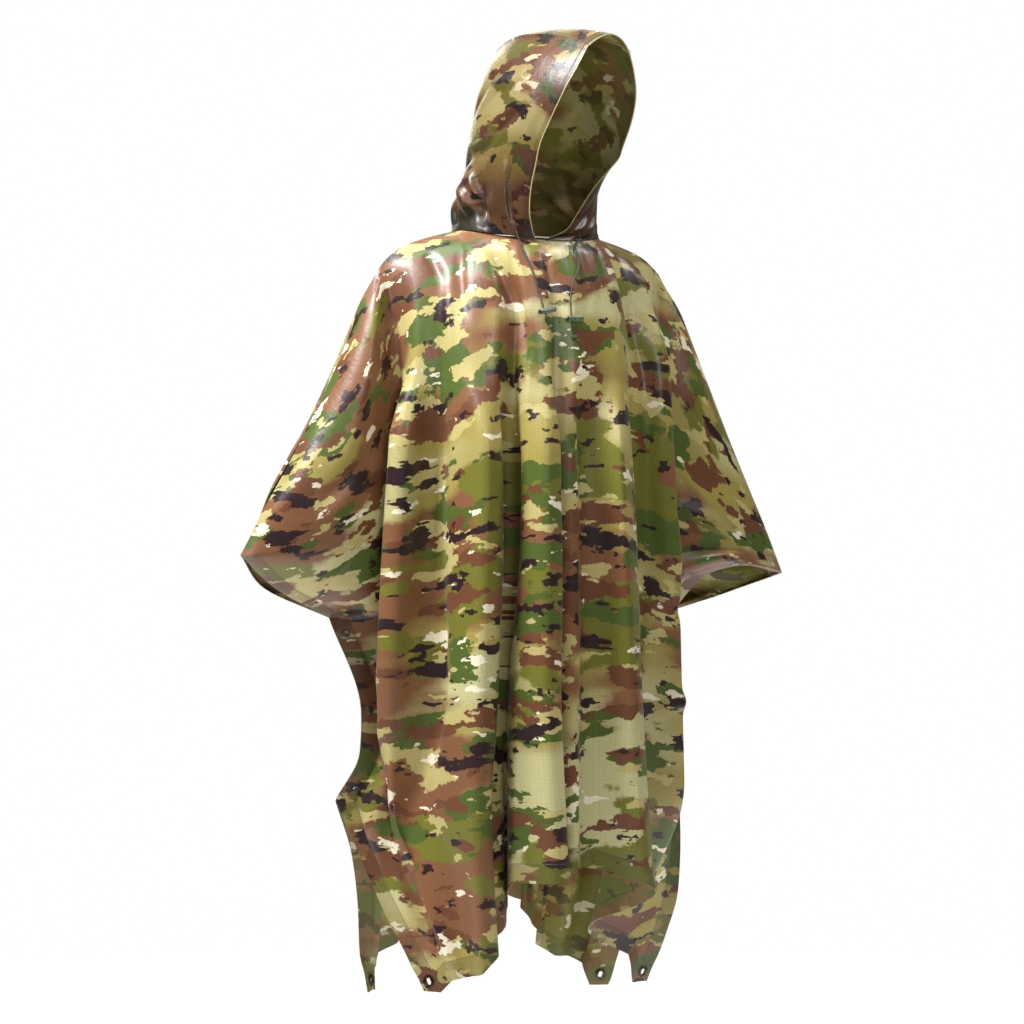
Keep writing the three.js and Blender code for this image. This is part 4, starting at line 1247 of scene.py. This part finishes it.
# Hard parts: the noise levels between which rubbed patches fade in, how much glossier and rougher
# the surface gets, and the height of its grain in metres.
PATCH_EDGE = (0.42, 0.7)
GLOSSIER = 0.08
ROUGHER = 0.2
GRAIN_HIGH = 0.00006

# Cords: threads to a metre and threads round, where a fleck fades in, its share and a thread's
# height in metres.
THREADS_ALONG = 520.0
THREADS_ROUND = 4.0
FLECK_EDGE = (0.4, 0.5)
FLECK_SHARE = 0.6
THREAD_HIGH = 0.0005


def linear(code: str) -> tuple[float, float, float, float]:
    """A screen colour such as "7c7a45" as the linear colour that shaders take."""
    parts = [int(code[k : k + 2], 16) / 255 for k in (0, 2, 4)]
    red, green, blue = (c / 12.92 if c <= 0.04045 else ((c + 0.055) / 1.055) ** 2.4 for c in parts)
    return red, green, blue, 1.0


class Graph:
    """A node tree that is being made."""

    def __init__(self, tree: bpy.types.NodeTree) -> None:
        """Starts on a tree, with none of its first nodes."""
        self.tree = tree
        tree.nodes.clear()

    def add(self, kind: str, values: dict | None = None, **settings: object) -> bpy.types.Node:
        """Adds a node.

        Args:
            kind: the node's type, without its first word ShaderNode.
            values: for its inputs by name or number, a value or the socket that feeds it.
            settings: its other settings.

        Returns:
            The node.
        """
        node = self.tree.nodes.new(kind if kind.startswith("Node") else "ShaderNode" + kind)
        for key, value in settings.items():
            setattr(node, key, value)
        for key, value in (values or {}).items():
            if isinstance(value, bpy.types.NodeSocket):
                self.tree.links.new(value, node.inputs[key])
            else:
                node.inputs[key].default_value = value
        return node

    def use(self, tree: bpy.types.NodeTree, values: dict) -> bpy.types.Node:
        """Adds a node group, with values or sockets for its inputs by name."""
        return self.add("Group", values, node_tree=tree)

    def math(self, operation: str, *values: object) -> bpy.types.NodeSocket:
        """The result of a sum on numbers or sockets."""
        return self.add("Math", dict(enumerate(values)), operation=operation).outputs[0]

    def product(self, first: object, second: object) -> bpy.types.NodeSocket:
        """One number or socket times another."""
        return self.math("MULTIPLY", first, second)

    def scaled(self, vector: bpy.types.NodeSocket, factors: Place) -> bpy.types.NodeSocket:
        """A vector times factors."""
        return self.add("Mapping", {"Vector": vector, "Scale": factors}).outputs[0]

    def noise(
        self, vector: bpy.types.NodeSocket, scale: object, detail: float, rough: float
    ) -> bpy.types.Node:
        """Cloud-like noise."""
        return self.add("TexNoise", {"Vector": vector, "Scale": scale, "Detail": detail, "Roughness": rough})

    def vectors(self, operation: str, first: object, second: object) -> bpy.types.NodeSocket:
        """The result of a sum on two vectors."""
        return self.add("VectorMath", {0: first, 1: second}, operation=operation).outputs[0]

    def step(self, value: bpy.types.NodeSocket, low: object, high: object) -> bpy.types.NodeSocket:
        """Rises smoothly from 0 at low to 1 at high."""
        values = {"Value": value, "From Min": low, "From Max": high}
        return self.add("MapRange", values, interpolation_type="SMOOTHSTEP").outputs[0]

    def fall(self, value: bpy.types.NodeSocket, low: object, high: object) -> bpy.types.NodeSocket:
        """Falls smoothly from 1 at low to 0 at high."""
        return self.math("SUBTRACT", 1.0, self.step(value, low, high))

    def blend(self, share: object, under: object, over: object, way: str = "MIX") -> bpy.types.NodeSocket:
        """One colour over another by a share."""
        return self.add("Mix", {0: share, 6: under, 7: over}, data_type="RGBA", blend_type=way).outputs[2]

    def surface(self, values: dict) -> None:
        """Ends a material with its surface."""
        surface = self.add("BsdfPrincipled", values)
        self.add("OutputMaterial", {"Surface": surface.outputs[0]}).is_active_output = True


def new_material(name: str) -> tuple[bpy.types.Material, Graph]:
    """A new material and the graph of its nodes."""
    material = bpy.data.materials.new(name)
    material.use_nodes = True
    return material, Graph(material.node_tree)


def group(
    name: str, inputs: dict[str, object], outputs: dict[str, str]
) -> tuple[Graph, dict, bpy.types.Node]:
    """A new shader node group.

    Args:
        name: its name.
        inputs: each input's first value, a number or three.
        outputs: each output's socket type.

    Returns:
        Its graph, its inputs by name, and its output node.
    """
    tree = bpy.data.node_groups.new(name, "ShaderNodeTree")
    graph = Graph(tree)
    for title, value in inputs.items():
        kind = "NodeSocketVector" if isinstance(value, tuple) else "NodeSocketFloat"
        socket = tree.interface.new_socket(title, in_out="INPUT", socket_type=kind)
        socket.default_value = value
    for title, kind in outputs.items():
        tree.interface.new_socket(title, in_out="OUTPUT", socket_type=kind)
    start = graph.add("NodeGroupInput")
    end = graph.add("NodeGroupOutput")
    return graph, {socket.name: socket for socket in start.outputs if socket.name}, end


def blot_group() -> bpy.types.NodeTree:
    """Blots of a print: cloud noise with a ragged, level outline, cut off at a level.

    Returns:
        A group with a Mask that is 1 inside the blots.
    """
    graph, given, end = group(
        "print blots",
        {"Vector": (0.0, 0.0, 0.0), "Size": 0.1, "Ragged": 0.01, "Level": 0.5, "Soft": 0.01, "Seed": 0.0},
        {"Mask": "NodeSocketFloat"},
    )
    moved = graph.vectors("ADD", given["Vector"], given["Seed"])
    level = graph.scaled(moved, BLOT_SQUASH)
    fine = graph.noise(graph.scaled(moved, TORN_SQUASH), *TORN_NOISE)
    aside = graph.vectors("SUBTRACT", fine.outputs["Color"], (0.5, 0.5, 0.5))
    aside = graph.add("VectorMath", {0: aside, "Scale": given["Ragged"]}, operation="SCALE").outputs[0]
    torn = graph.vectors("ADD", level, aside)
    cloud = graph.noise(torn, graph.math("DIVIDE", 1.0, given["Size"]), *CLOUD_NOISE).outputs["Fac"]
    mask = graph.step(cloud, given["Level"], graph.math("ADD", given["Level"], given["Soft"]))
    graph.tree.links.new(mask, end.inputs["Mask"])
    return graph.tree


def ripstop_group() -> bpy.types.NodeTree:
    """The weave's grid of thicker threads: 1 on a line, by the distance to the nearest one.

    Returns:
        A group with the Line mask.
    """
    graph, given, end = group(
        "ripstop grid",
        {"Vector": (0.0, 0.0, 0.0), "Pitch": 0.006, "Width": 0.0005},
        {"Line": "NodeSocketFloat"},
    )
    split = graph.add("SeparateXYZ", {0: given["Vector"]})
    lines = []
    for axis in (0, 1):
        near = graph.math("PINGPONG", split.outputs[axis], graph.product(given["Pitch"], 0.5))
        lines.append(graph.fall(near, 0.0, given["Width"]))
    graph.tree.links.new(graph.math("MAXIMUM", *lines), end.inputs["Line"])
    return graph.tree


def stitch_group() -> bpy.types.NodeTree:
    """A row of stitches at a distance from an edge: short dashes along it.

    Returns:
        A group with the Stitch mask and the soft Groove about the row.
    """
    graph, given, end = group(
        "stitch row",
        {"Across": 0.0, "Along": 0.0, "At": 0.028, "Pitch": 0.0028},
        {"Stitch": "NodeSocketFloat", "Groove": "NodeSocketFloat"},
    )
    off = graph.math("ABSOLUTE", graph.math("SUBTRACT", given["Across"], given["At"]))
    row = graph.fall(off, *THREAD)
    dash = graph.math("PINGPONG", given["Along"], graph.product(given["Pitch"], 0.5))
    dash = graph.step(dash, *DASH)
    graph.tree.links.new(graph.product(row, dash), end.inputs["Stitch"])
    graph.tree.links.new(graph.fall(off, *GROOVE), end.inputs["Groove"])
    return graph.tree


@dataclass(frozen=True)
class Blots:
    """One colour of the print.

    Args:
        name: what it is.
        colour: its screen colour.
        size: about how wide its blots are, in metres.
        level: the noise level above which they lie.
        soft: how far their edge fades.
        ragged: how far their outline wanders, in metres.
        seed: where in the noise they are taken from.
    """

    name: str
    colour: str
    size: float
    level: float
    soft: float
    ragged: float
    seed: float


PRINT = (
    Blots("pale green fade", "b8b384", 0.36, 0.485, 0.12, 0.01, 3.1),
    Blots("brown fade", "7b5236", 0.28, 0.46, 0.06, 0.02, 11.7),
    Blots("olive field", "6b6a26", 0.2, 0.55, 0.02, 0.024, 21.3),
    Blots("leaf green", "4a5b23", 0.105, 0.57, 0.005, 0.024, 34.9),
    Blots("mid brown", "673f29", 0.1, 0.57, 0.005, 0.024, 45.2),
    Blots("light tan", "b2a66c", 0.07, 0.6, 0.005, 0.023, 57.8),
    Blots("cream", "dfd7bf", 0.052, 0.652, 0.004, 0.019, 68.4),
    Blots("dark brown", "28161b", 0.055, 0.61, 0.004, 0.021, 79.6),
)


@dataclass(frozen=True)
class ClothFinish:
    """Thin coated cloth with a blotched print, a ripstop grid and stitched hems.

    Args:
        name: the material's name.
        ground: the print's ground colour.
        blots: the colours printed over it, from the lowest.
        roughness: of the outside.
        hem_at: how far the hem's stitches are from the edge, in metres.
        grid: the distance between the thicker threads.
        crumple: how high the small crinkles stand, in metres.
        bound: how wide the painted highlight along the face edge is, in metres.
        foot: how much of a purple-brown tint the hood's foot has, partly the print's colour and partly a
            painted sheen.
        shade: how much painted shade darkens the whole outside, as a brown tint.
        inside: how much painted light, standing for light through the thin cloth, makes its inside yellower
            and lighter.
    """

    name: str
    ground: str = "988b49"
    blots: tuple[Blots, ...] = PRINT
    roughness: float = 0.4
    hem_at: float = 0.028
    grid: float = 0.0055
    crumple: float = 0.0024
    bound: float = 0.0
    foot: float = 0.0
    shade: float = 0.0
    inside: float = 0.14

    def make(self, groups: dict[str, bpy.types.NodeTree]) -> bpy.types.Material:
        """Builds the material.

        Args:
            groups: the shared node groups by name.

        Returns:
            The material.
        """
        material, graph = new_material(self.name)
        cut = graph.add("UVMap", uv_map="cut").outputs[0]
        hem = graph.add("SeparateXYZ", {0: graph.add("UVMap", uv_map="hem").outputs[0]})
        inner = graph.add("Attribute", attribute_name="inner").outputs["Fac"]
        colour: object = linear(self.ground)
        for blots in self.blots:
            values = {
                "Vector": cut, "Size": blots.size, "Ragged": blots.ragged,
                "Level": blots.level, "Soft": blots.soft, "Seed": blots.seed,
            }
            mask = graph.use(groups["blots"], values).outputs[0]
            colour = graph.blend(mask, colour, linear(blots.colour))
        line = graph.use(groups["ripstop"], {"Vector": cut, "Pitch": self.grid}).outputs["Line"]
        colour = graph.blend(graph.product(line, LINE_SHARE), colour, linear(LINE_TINT), "MULTIPLY")
        # Painted shade: the hem bands are darkened, as doubled cloth lets less light through.
        near = graph.math("MINIMUM", hem.outputs[0], hem.outputs[1])
        band = graph.fall(near, self.hem_at, self.hem_at + HEM_PAINTED_SHADE_FADE)
        colour = graph.blend(graph.product(band, HEM_PAINTED_SHADE_SHARE), colour, HEM_PAINTED_SHADE)
        height = graph.product(line, LINE_HIGH)
        place = graph.add("SeparateXYZ", {0: cut})
        for across, along in ((0, 1), (1, 0)):
            values = {"Across": hem.outputs[across], "Along": place.outputs[along], "At": self.hem_at}
            row = graph.use(groups["stitch"], values)
            stitch, groove = row.outputs["Stitch"], row.outputs["Groove"]
            colour = graph.blend(graph.product(stitch, THREAD_SHARE), colour, linear(THREAD_COLOUR))
            raised = graph.math("SUBTRACT", stitch, groove)
            height = graph.math("ADD", height, graph.product(raised, STITCH_HIGH))
        crumple = graph.noise(graph.scaled(cut, CRUMPLE_STRETCH), *CRUMPLE_NOISE).outputs["Fac"]
        height = graph.math("ADD", height, graph.product(crumple, self.crumple))
        # Painted shade: the outside, and not the inside, is darkened by a brown tint.
        outer = graph.math("SUBTRACT", 1.0, inner)
        colour = graph.blend(graph.product(outer, self.shade), colour, linear(PAINTED_SHADE_TINT), "MULTIPLY")
        # A purple-brown tint towards the hood's foot: partly the print's colour, partly a painted sheen.
        if self.foot:
            low = graph.step(place.outputs[1], *FOOT_PLACES)
            colour = graph.blend(graph.product(low, self.foot), colour, linear(FOOT_PRINT_AND_SHEEN_TINT), "MULTIPLY")
        # A painted highlight: a pale strip along the face edge.
        if self.bound:
            edge = graph.fall(hem.outputs[0], self.bound * EDGE_HIGHLIGHT_FADE, self.bound)
            colour = graph.blend(graph.product(edge, EDGE_HIGHLIGHT_SHARE), colour, linear(EDGE_HIGHLIGHT_COLOUR))
        # Painted light: the inside is lightened with a pale yellow tint, for light through the thin cloth.
        colour = graph.blend(graph.product(inner, self.inside), colour, linear(INSIDE_PAINTED_LIGHT_COLOUR))
        bump = graph.add("Bump", {"Height": height, "Distance": 1.0, "Strength": 0.75})
        rough = graph.math("ADD", self.roughness, graph.product(inner, INSIDE_ROUGHER))
        graph.surface({
            "Base Color": colour, "Roughness": rough, "Normal": bump.outputs[0], "Specular IOR Level": 0.42,
            "Sheen Weight": 0.08, "Sheen Roughness": 0.4, "Coat Weight": 0.07, "Coat Roughness": 0.24,
        })
        return material


@dataclass(frozen=True)
class HardFinish:
    """Metal or moulded plastic, worn a little: its colour and gloss vary over it.

    Args:
        name: the material's name.
        colour: its screen colour.
        worn: the colour where it is rubbed.
        metal: 1 for metal, 0 for plastic.
        roughness: of its surface.
    """

    name: str
    colour: str
    worn: str
    metal: float
    roughness: float

    def make(self) -> bpy.types.Material:
        """Builds the material."""
        material, graph = new_material(self.name)
        place = graph.add("TexCoord").outputs["Object"]
        patch = graph.step(graph.noise(place, *PATCH_NOISE).outputs["Fac"], *PATCH_EDGE)
        fine = graph.noise(place, *FINE_NOISE).outputs["Fac"]
        colour = graph.blend(patch, linear(self.colour), linear(self.worn))
        rough = graph.math("ADD", self.roughness - GLOSSIER, graph.product(fine, ROUGHER))
        grain = graph.product(fine, GRAIN_HIGH)
        bump = graph.add("Bump", {"Height": grain, "Distance": 1.0, "Strength": 0.6})
        graph.surface({
            "Base Color": colour, "Roughness": rough, "Metallic": self.metal, "Normal": bump.outputs[0],
        })
        return material


@dataclass(frozen=True)
class CordFinish:
    """A thin braided cord: threads that cross in two ways round it, with light flecks.

    Args:
        name: the material's name.
        colour: its screen colour.
        fleck: the colour of its light threads.
    """

    name: str = "braided cord"
    colour: str = "1f1f19"
    fleck: str = "77735a"

    def make(self) -> bpy.types.Material:
        """Builds the material."""
        material, graph = new_material(self.name)
        split = graph.add("SeparateXYZ", {0: graph.add("UVMap", uv_map="round").outputs[0]})
        waves = []
        for way in (1.0, -1.0):
            along = graph.product(split.outputs[1], THREADS_ALONG)
            turn = graph.product(split.outputs[0], THREADS_ROUND * way)
            waves.append(graph.math("PINGPONG", graph.math("ADD", along, turn), 0.5))
        braid = graph.math("MAXIMUM", *waves)
        fleck = graph.step(braid, *FLECK_EDGE)
        colour = graph.blend(graph.product(fleck, FLECK_SHARE), linear(self.colour), linear(self.fleck))
        threads = graph.product(braid, THREAD_HIGH)
        bump = graph.add("Bump", {"Height": threads, "Distance": 1.0, "Strength": 0.8})
        graph.surface({"Base Color": colour, "Roughness": 0.55, "Normal": bump.outputs[0]})
        return material


def dress(piece: bpy.types.Object, material: bpy.types.Material) -> None:
    """Gives a piece one material, and reports it."""
    piece.data.materials.clear()
    piece.data.materials.append(material)
    log.info("%s: %d faces, %s", piece.name, len(piece.data.polygons), material.name)


# The room

AZIMUTH = math.radians(-27)
CAMERA_AWAY = 4.5
CAMERA_LEVEL = -0.408
CAMERA_LENS = 105.47
CAMERA_ASIDE = -13 / 1024
FLOOR = -1.5
FLOOR_RINGS = (0.01, 1, 2, 4, 7, 11)
FLOOR_SIDES = 64
FLOOR_FADE = (0.9, 3.2)


def place_camera() -> None:
    """The photograph's view: level, 27 degrees round to the wearer's right."""
    data = bpy.data.cameras.new("view")
    data.lens, data.shift_x = CAMERA_LENS, CAMERA_ASIDE
    camera = bpy.data.objects.new("view", data)
    camera.location = (CAMERA_AWAY * math.sin(AZIMUTH), -CAMERA_AWAY * math.cos(AZIMUTH), CAMERA_LEVEL)
    camera.rotation_euler = (math.pi / 2, 0, AZIMUTH)
    bpy.context.scene.collection.objects.link(camera)
    bpy.context.scene.camera = camera


@dataclass(frozen=True)
class SoftLight:
    """A square soft light that looks at the middle of the poncho.

    Args:
        name: what it is.
        azimuth: degrees round from the front, to the wearer's right where negative.
        elevation: degrees up.
        away: its distance in metres.
        size: its side in metres.
        power: in watts.
        aim: the height that it looks at.
    """

    name: str
    azimuth: float
    elevation: float
    away: float
    size: float
    power: float
    aim: float = -0.45

    def build(self) -> None:
        """Makes the light."""
        data = bpy.data.lights.new(self.name, "AREA")
        data.energy, data.size = self.power, self.size
        light = bpy.data.objects.new(self.name, data)
        azimuth, elevation = math.radians(self.azimuth), math.radians(self.elevation)
        level = math.cos(elevation)
        back = Vector((math.sin(azimuth) * level, -math.cos(azimuth) * level, math.sin(elevation)))
        light.location = Vector((0, 0, self.aim)) + back * self.away
        light.rotation_euler = back.to_track_quat("Z", "Y").to_euler()
        bpy.context.scene.collection.objects.link(light)


LIGHTS = (
    SoftLight("key", -84, 44, 2.5, 0.6, 138, 0.08),
    SoftLight("front", -56, 56, 2.6, 0.8, 16, 0.0),
    SoftLight("chest", -12, 6, 1.5, 0.4, 6.5, 0.24),
    SoftLight("fill", 68, 58, 2.6, 0.7, 30),
    SoftLight("top", -60, 82, 2.1, 0.8, 18),
    SoftLight("rear", 165, 30, 3.0, 1.6, 34),
)


def build_world() -> None:
    """A world that looks white and lights warmly."""
    world = bpy.data.worlds.new("studio")
    world.use_nodes = True
    bpy.context.scene.world = world
    graph = Graph(world.node_tree)
    seen = graph.add("Background", {"Color": (1, 1, 1, 1), "Strength": 1.0})
    light = graph.add("Background", {"Color": (1, 0.86, 0.58, 1), "Strength": 0.13})
    choice = graph.add("MixShader", {0: graph.add("LightPath").outputs["Is Camera Ray"]})
    graph.tree.links.new(light.outputs[0], choice.inputs[1])
    graph.tree.links.new(seen.outputs[0], choice.inputs[2])
    graph.add("OutputWorld", {"Surface": choice.outputs[0]})


def build_floor() -> None:
    """A pale floor that fades out into the world."""
    turn = np.linspace(0, 2 * math.pi, FLOOR_SIDES, endpoint=False)
    rings = np.stack([np.cos(turn), np.sin(turn)], axis=-1)[None] * np.array(FLOOR_RINGS)[:, None, None]
    points = np.concatenate([rings, np.full((*rings.shape[:2], 1), FLOOR)], axis=-1).reshape(-1, 3)
    number = np.arange(len(points)).reshape(-1, FLOOR_SIDES)
    after = np.roll(number, -1, axis=1)
    quads = np.stack([number[:-1], number[1:], after[1:], after[:-1]], axis=-1).reshape(-1, 4)
    mesh = bpy.data.meshes.new("floor")
    mesh.from_pydata(points.tolist(), [], quads.tolist())
    floor = bpy.data.objects.new("floor", mesh)
    bpy.context.scene.collection.objects.link(floor)
    material, graph = new_material("pale floor")
    place = graph.add("TexCoord").outputs["Object"]
    flat = graph.scaled(place, (1, 1, 0))
    distance = graph.add("VectorMath", {0: flat}, operation="LENGTH").outputs["Value"]
    graph.surface({
        "Base Color": (0.93, 0.93, 0.93, 1), "Roughness": 0.9, "Alpha": graph.fall(distance, *FLOOR_FADE),
        "Emission Color": (1, 1, 1, 1), "Emission Strength": 0.5,
    })
    dress(floor, material)


def ring_places(nodes: dict[str, bpy.types.Object], names: Sequence[str]) -> list[tuple[Array, Array]]:
    """Centre and axis of ring-shaped solids: the mean of each one's box, and the direction in which
    its points spread least.

    Args:
        nodes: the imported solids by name.
        names: the rings' names.

    Returns:
        Centre and axis of each, in millimetres.
    """
    places = []
    for name in names:
        mesh = nodes[name].data
        points = np.empty(len(mesh.vertices) * 3, np.float32)
        mesh.vertices.foreach_get("co", points)
        points = points.reshape(-1, 3).astype(float) / MM
        low, high = (np.array(corner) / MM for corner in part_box(name))
        spread = np.linalg.svd(points - points.mean(0), full_matrices=False)[2]
        places.append(((low + high) / 2, spread[2]))
    return places


# Folds and creases of the panels, which each panel's relief is the sum of

FRONT_LONG_FOLDS = (
    LongFold(((268, -365), (451, -404), (634, -446)), 22, -14),
    LongFold(((223, -298), (365, -334), (451, -355), (634, -392), (817, -455), (930, -472)), 25, 24),
    LongFold(((281, -254), (379, -286), (463, -302), (652, -322), (824, -378), (974, -396)), 25, -24),
    LongFold(((280, -164), (340, -172), (488, -204), (662, -235), (837, -262), (1100, -290)), 21, 23),
    LongFold(((300, -112), (360, -110), (501, -122), (673, -172), (845, -222), (1100, -246)), 19, -19),
    LongFold(((300, -33), (380, -38), (509, -46), (676, -53), (1000, -58)), 20, 19),
    LongFold(((290, 58), (360, 68), (503, 79), (682, 92), (1000, 84)), 24, -22),
    LongFold(((290, 112), (502, 135), (679, 147), (857, 156), (1000, 172)), 19, 23),
    LongFold(((250, 180), (304, 188), (476, 226), (681, 204), (865, 216), (1000, 236)), 18, -19),
    LongFold(((130, 232), (283, 262), (463, 312)), 21, 15),
    LongFold(((500, 290), (700, 300), (860, 330), (1000, 350)), 24, 12),
)
BACK_LONG_FOLDS = (
    LongFold(((240, -300), (420, -345), (640, -390), (930, -440)), 26, 17),
    LongFold(((250, -240), (440, -280), (660, -310), (1100, -350)), 24, -17),
    LongFold(((180, -160), (420, -200), (680, -232), (1100, -262)), 22, 16),
    LongFold(((200, -96), (430, -120), (700, -140), (1100, -156)), 22, -14),
    LongFold(((160, -36), (440, -48), (720, -52), (1100, -58)), 22, 16),
    LongFold(((220, 30), (470, 38), (760, 46), (1100, 50)), 24, -16),
    LongFold(((170, 104), (420, 124), (700, 140), (1100, 152)), 22, 17),
    LongFold(((240, 176), (480, 214), (720, 236), (1100, 250)), 22, -17),
    LongFold(((150, 226), (400, 292), (640, 330), (1100, 356)), 24, 16),
    LongFold(((300, 366), (500, 404), (700, 430)), 22, -10),
)
FRONT_CREASES = creases(
    # Short folds that fan out from the neck and shoulders
    (-199, 20, -188, 80, 9, -6), (-178, 92, -232, 260, 9, 6, -6), (-196, 150, -262, 330, 10, -8),
    (-150, 26, -158, 150, 8, -4, 5), (-106, 40, -54, 230, 13, -13, -8), (-84, 30, -76, 110, 7, 3.5),
    (-58, 16, -44, 96, 6, -3.5), (-16, 34, 3, 160, 9, -6, 3), (22, 14, 30, 100, 6, -3),
    (48, 18, 56, 150, 8, -4.5, -4), (96, 14, 112, 120, 8, -5, 5), (140, 16, 216, 214, 13, -13, 8),
    (176, 20, 226, 120, 9, 4.5), (222, 30, 262, 190, 11, -7, 6),
    # Slack in the panels
    (-330, 560, -300, 880, 26, -6, 12), (-250, 420, -290, 700, 22, -5, -10),
    (-402, 760, -340, 1010, 20, 6, 8),
    (-350, 820, -300, 1040, 24, -7, -8), (60, 520, 70, 820, 22, -5, 8), (120, 600, 128, 860, 16, 5, -6),
    (-20, 640, -30, 900, 14, -4),
    # Pulls from the arms and the side snaps
    (-470, 332, -590, 440, 15, -6, 8), (-420, 210, -560, 250, 20, -5, 14), (-520, 130, -640, 250, 22, 5, -10),
    (-500, 480, -420, 420, 12, -7, 6), (-480, 560, -400, 520, 12, 6, -5), (-490, 640, -400, 660, 14, -6, 6),
    (-470, 760, -390, 700, 14, 6), (306, 394, 486, 310, 11, -6, -8), (360, 240, 520, 300, 20, 5, 12),
    (420, 150, 600, 330, 24, -5, -10), (400, 560, 330, 540, 12, -6), (410, 680, 340, 720, 13, 6, 6),
)
BACK_CREASES = creases(
    (-206, 24, -196, 96, 9, -6), (-160, 20, -182, 190, 12, -9, 6), (-112, 14, -120, 120, 8, -4.5),
    (-70, 20, -92, 220, 12, -9, -6), (-34, 12, -30, 90, 7, -3.5), (6, 14, -4, 160, 10, -6, 4),
    (44, 16, 60, 130, 8, -4), (82, 18, 112, 230, 12, -9, 6), (134, 14, 140, 110, 8, -4),
    (164, 22, 204, 210, 12, -10, -6), (216, 26, 236, 120, 9, -6), (-236, 120, -330, 420, 15, 9),
    (-330, 420, -372, 720, 16, 6), (-270, 300, -322, 620, 14, -8, -6), (-150, 210, -190, 560, 10, 6),
    (-186, 560, -214, 900, 11, 5), (-60, 190, -72, 520, 10, 6), (52, 200, 64, 560, 10, 6),
    (150, 210, 172, 600, 10, 6), (228, 140, 318, 430, 14, 8), (262, 300, 306, 640, 14, -8, 6),
    (-24, 300, -12, 700, 20, -6, 8), (104, 380, 118, 760, 20, -6, -8), (-126, 420, -140, 800, 20, -6, 8),
    (-260, 640, -300, 960, 22, -6), (210, 620, 240, 980, 22, -6, 8), (300, 760, 330, 1060, 20, 6, -8),
    (-470, 332, -590, 430, 15, -6, 8), (-430, 210, -580, 270, 20, -5, 12), (-520, 120, -640, 240, 22, 5, -10),
    (460, 330, 590, 440, 15, -6, -8), (430, 200, 600, 290, 22, 5, 10), (470, 560, 390, 520, 12, -6),
    (-480, 620, -400, 600, 13, -6, 5), (470, 720, 400, 700, 14, 6),
)


def main() -> None:
    """Builds the camera, the cords, the room, the cloth and the hard parts, and reports each piece."""
    logging.basicConfig(level=logging.INFO, format="%(name)s: %(message)s")
    nodes = frame["nodes"]
    place_camera()
    cord_finish = CordFinish().make()
    for string in (Drawstring(Side.RIGHT, RIGHT_STRING), Drawstring(Side.LEFT, LEFT_STRING)):
        dress(string.build(nodes), cord_finish)
    bpy.context.scene.view_settings.view_transform = "Standard"
    build_world()
    build_floor()
    for light in LIGHTS:
        light.build()
    groups = {"blots": blot_group(), "ripstop": ripstop_group(), "stitch": stitch_group()}
    # Both cloths have painted shade on their hem bands and painted light on their inside. The hood's also has
    # painted shade over its outside, a painted highlight along its face edge and a purple-brown foot that is
    # partly the print's colour and partly a painted sheen.
    cloth = ClothFinish("printed cloth").make(groups)
    hood_cloth = ClothFinish(
        "printed hood cloth", hem_at=0.0085, crumple=0.004, bound=0.0016, foot=0.85, shade=0.75, inside=0.2,
    ).make(groups)
    front = Panel(
        "front_cloth", "front_panel", Face.FRONT, FRONT_FOLDS, FRONT_EDGES,
        flat=(1.31, 1.06), area=1.12, creases=FRONT_LONG_FOLDS + FRONT_CREASES,
    )
    back = Panel(
        "back_cloth", "back_panel", Face.BACK, BACK_FOLDS, BACK_EDGES,
        flat=(1.3, 1.1), area=1.11, creases=BACK_LONG_FOLDS + BACK_CREASES,
    )
    for panel in (front, back):
        word = panel.face.name.lower()
        dress(panel.build(ring_places(nodes, [f"grommet_{word}_right", f"grommet_{word}_left"])), cloth)
    hood = Hood()
    for piece in (hood.side_cloth(Side.RIGHT), hood.side_cloth(Side.LEFT), hood.strip_cloth()):
        dress(piece, hood_cloth)
    finishes = {
        "grommet": HardFinish("dark antique metal", "2c2722", "6b5f4e", 1.0, 0.38).make(),
        "side_snap": HardFinish("dull metal", "5c5b56", "8a877e", 1.0, 0.42).make(),
        "cord_lock_button": HardFinish("black plastic", "16171a", "2c2d2e", 0.0, 0.3).make(),
        "cord_lock": HardFinish("grey green plastic", "4c5547", "6e7863", 0.0, 0.28).make(),
        "drawstring_knot": HardFinish("knotted cord", "34342a", "77745a", 0.0, 0.6).make(),
    }
    for name, node in nodes.items():
        kind = next((title for title in finishes if name.startswith(title)), None)
        if kind:
            dress(node, finishes[kind])


if __name__ == "__main__":
    main()
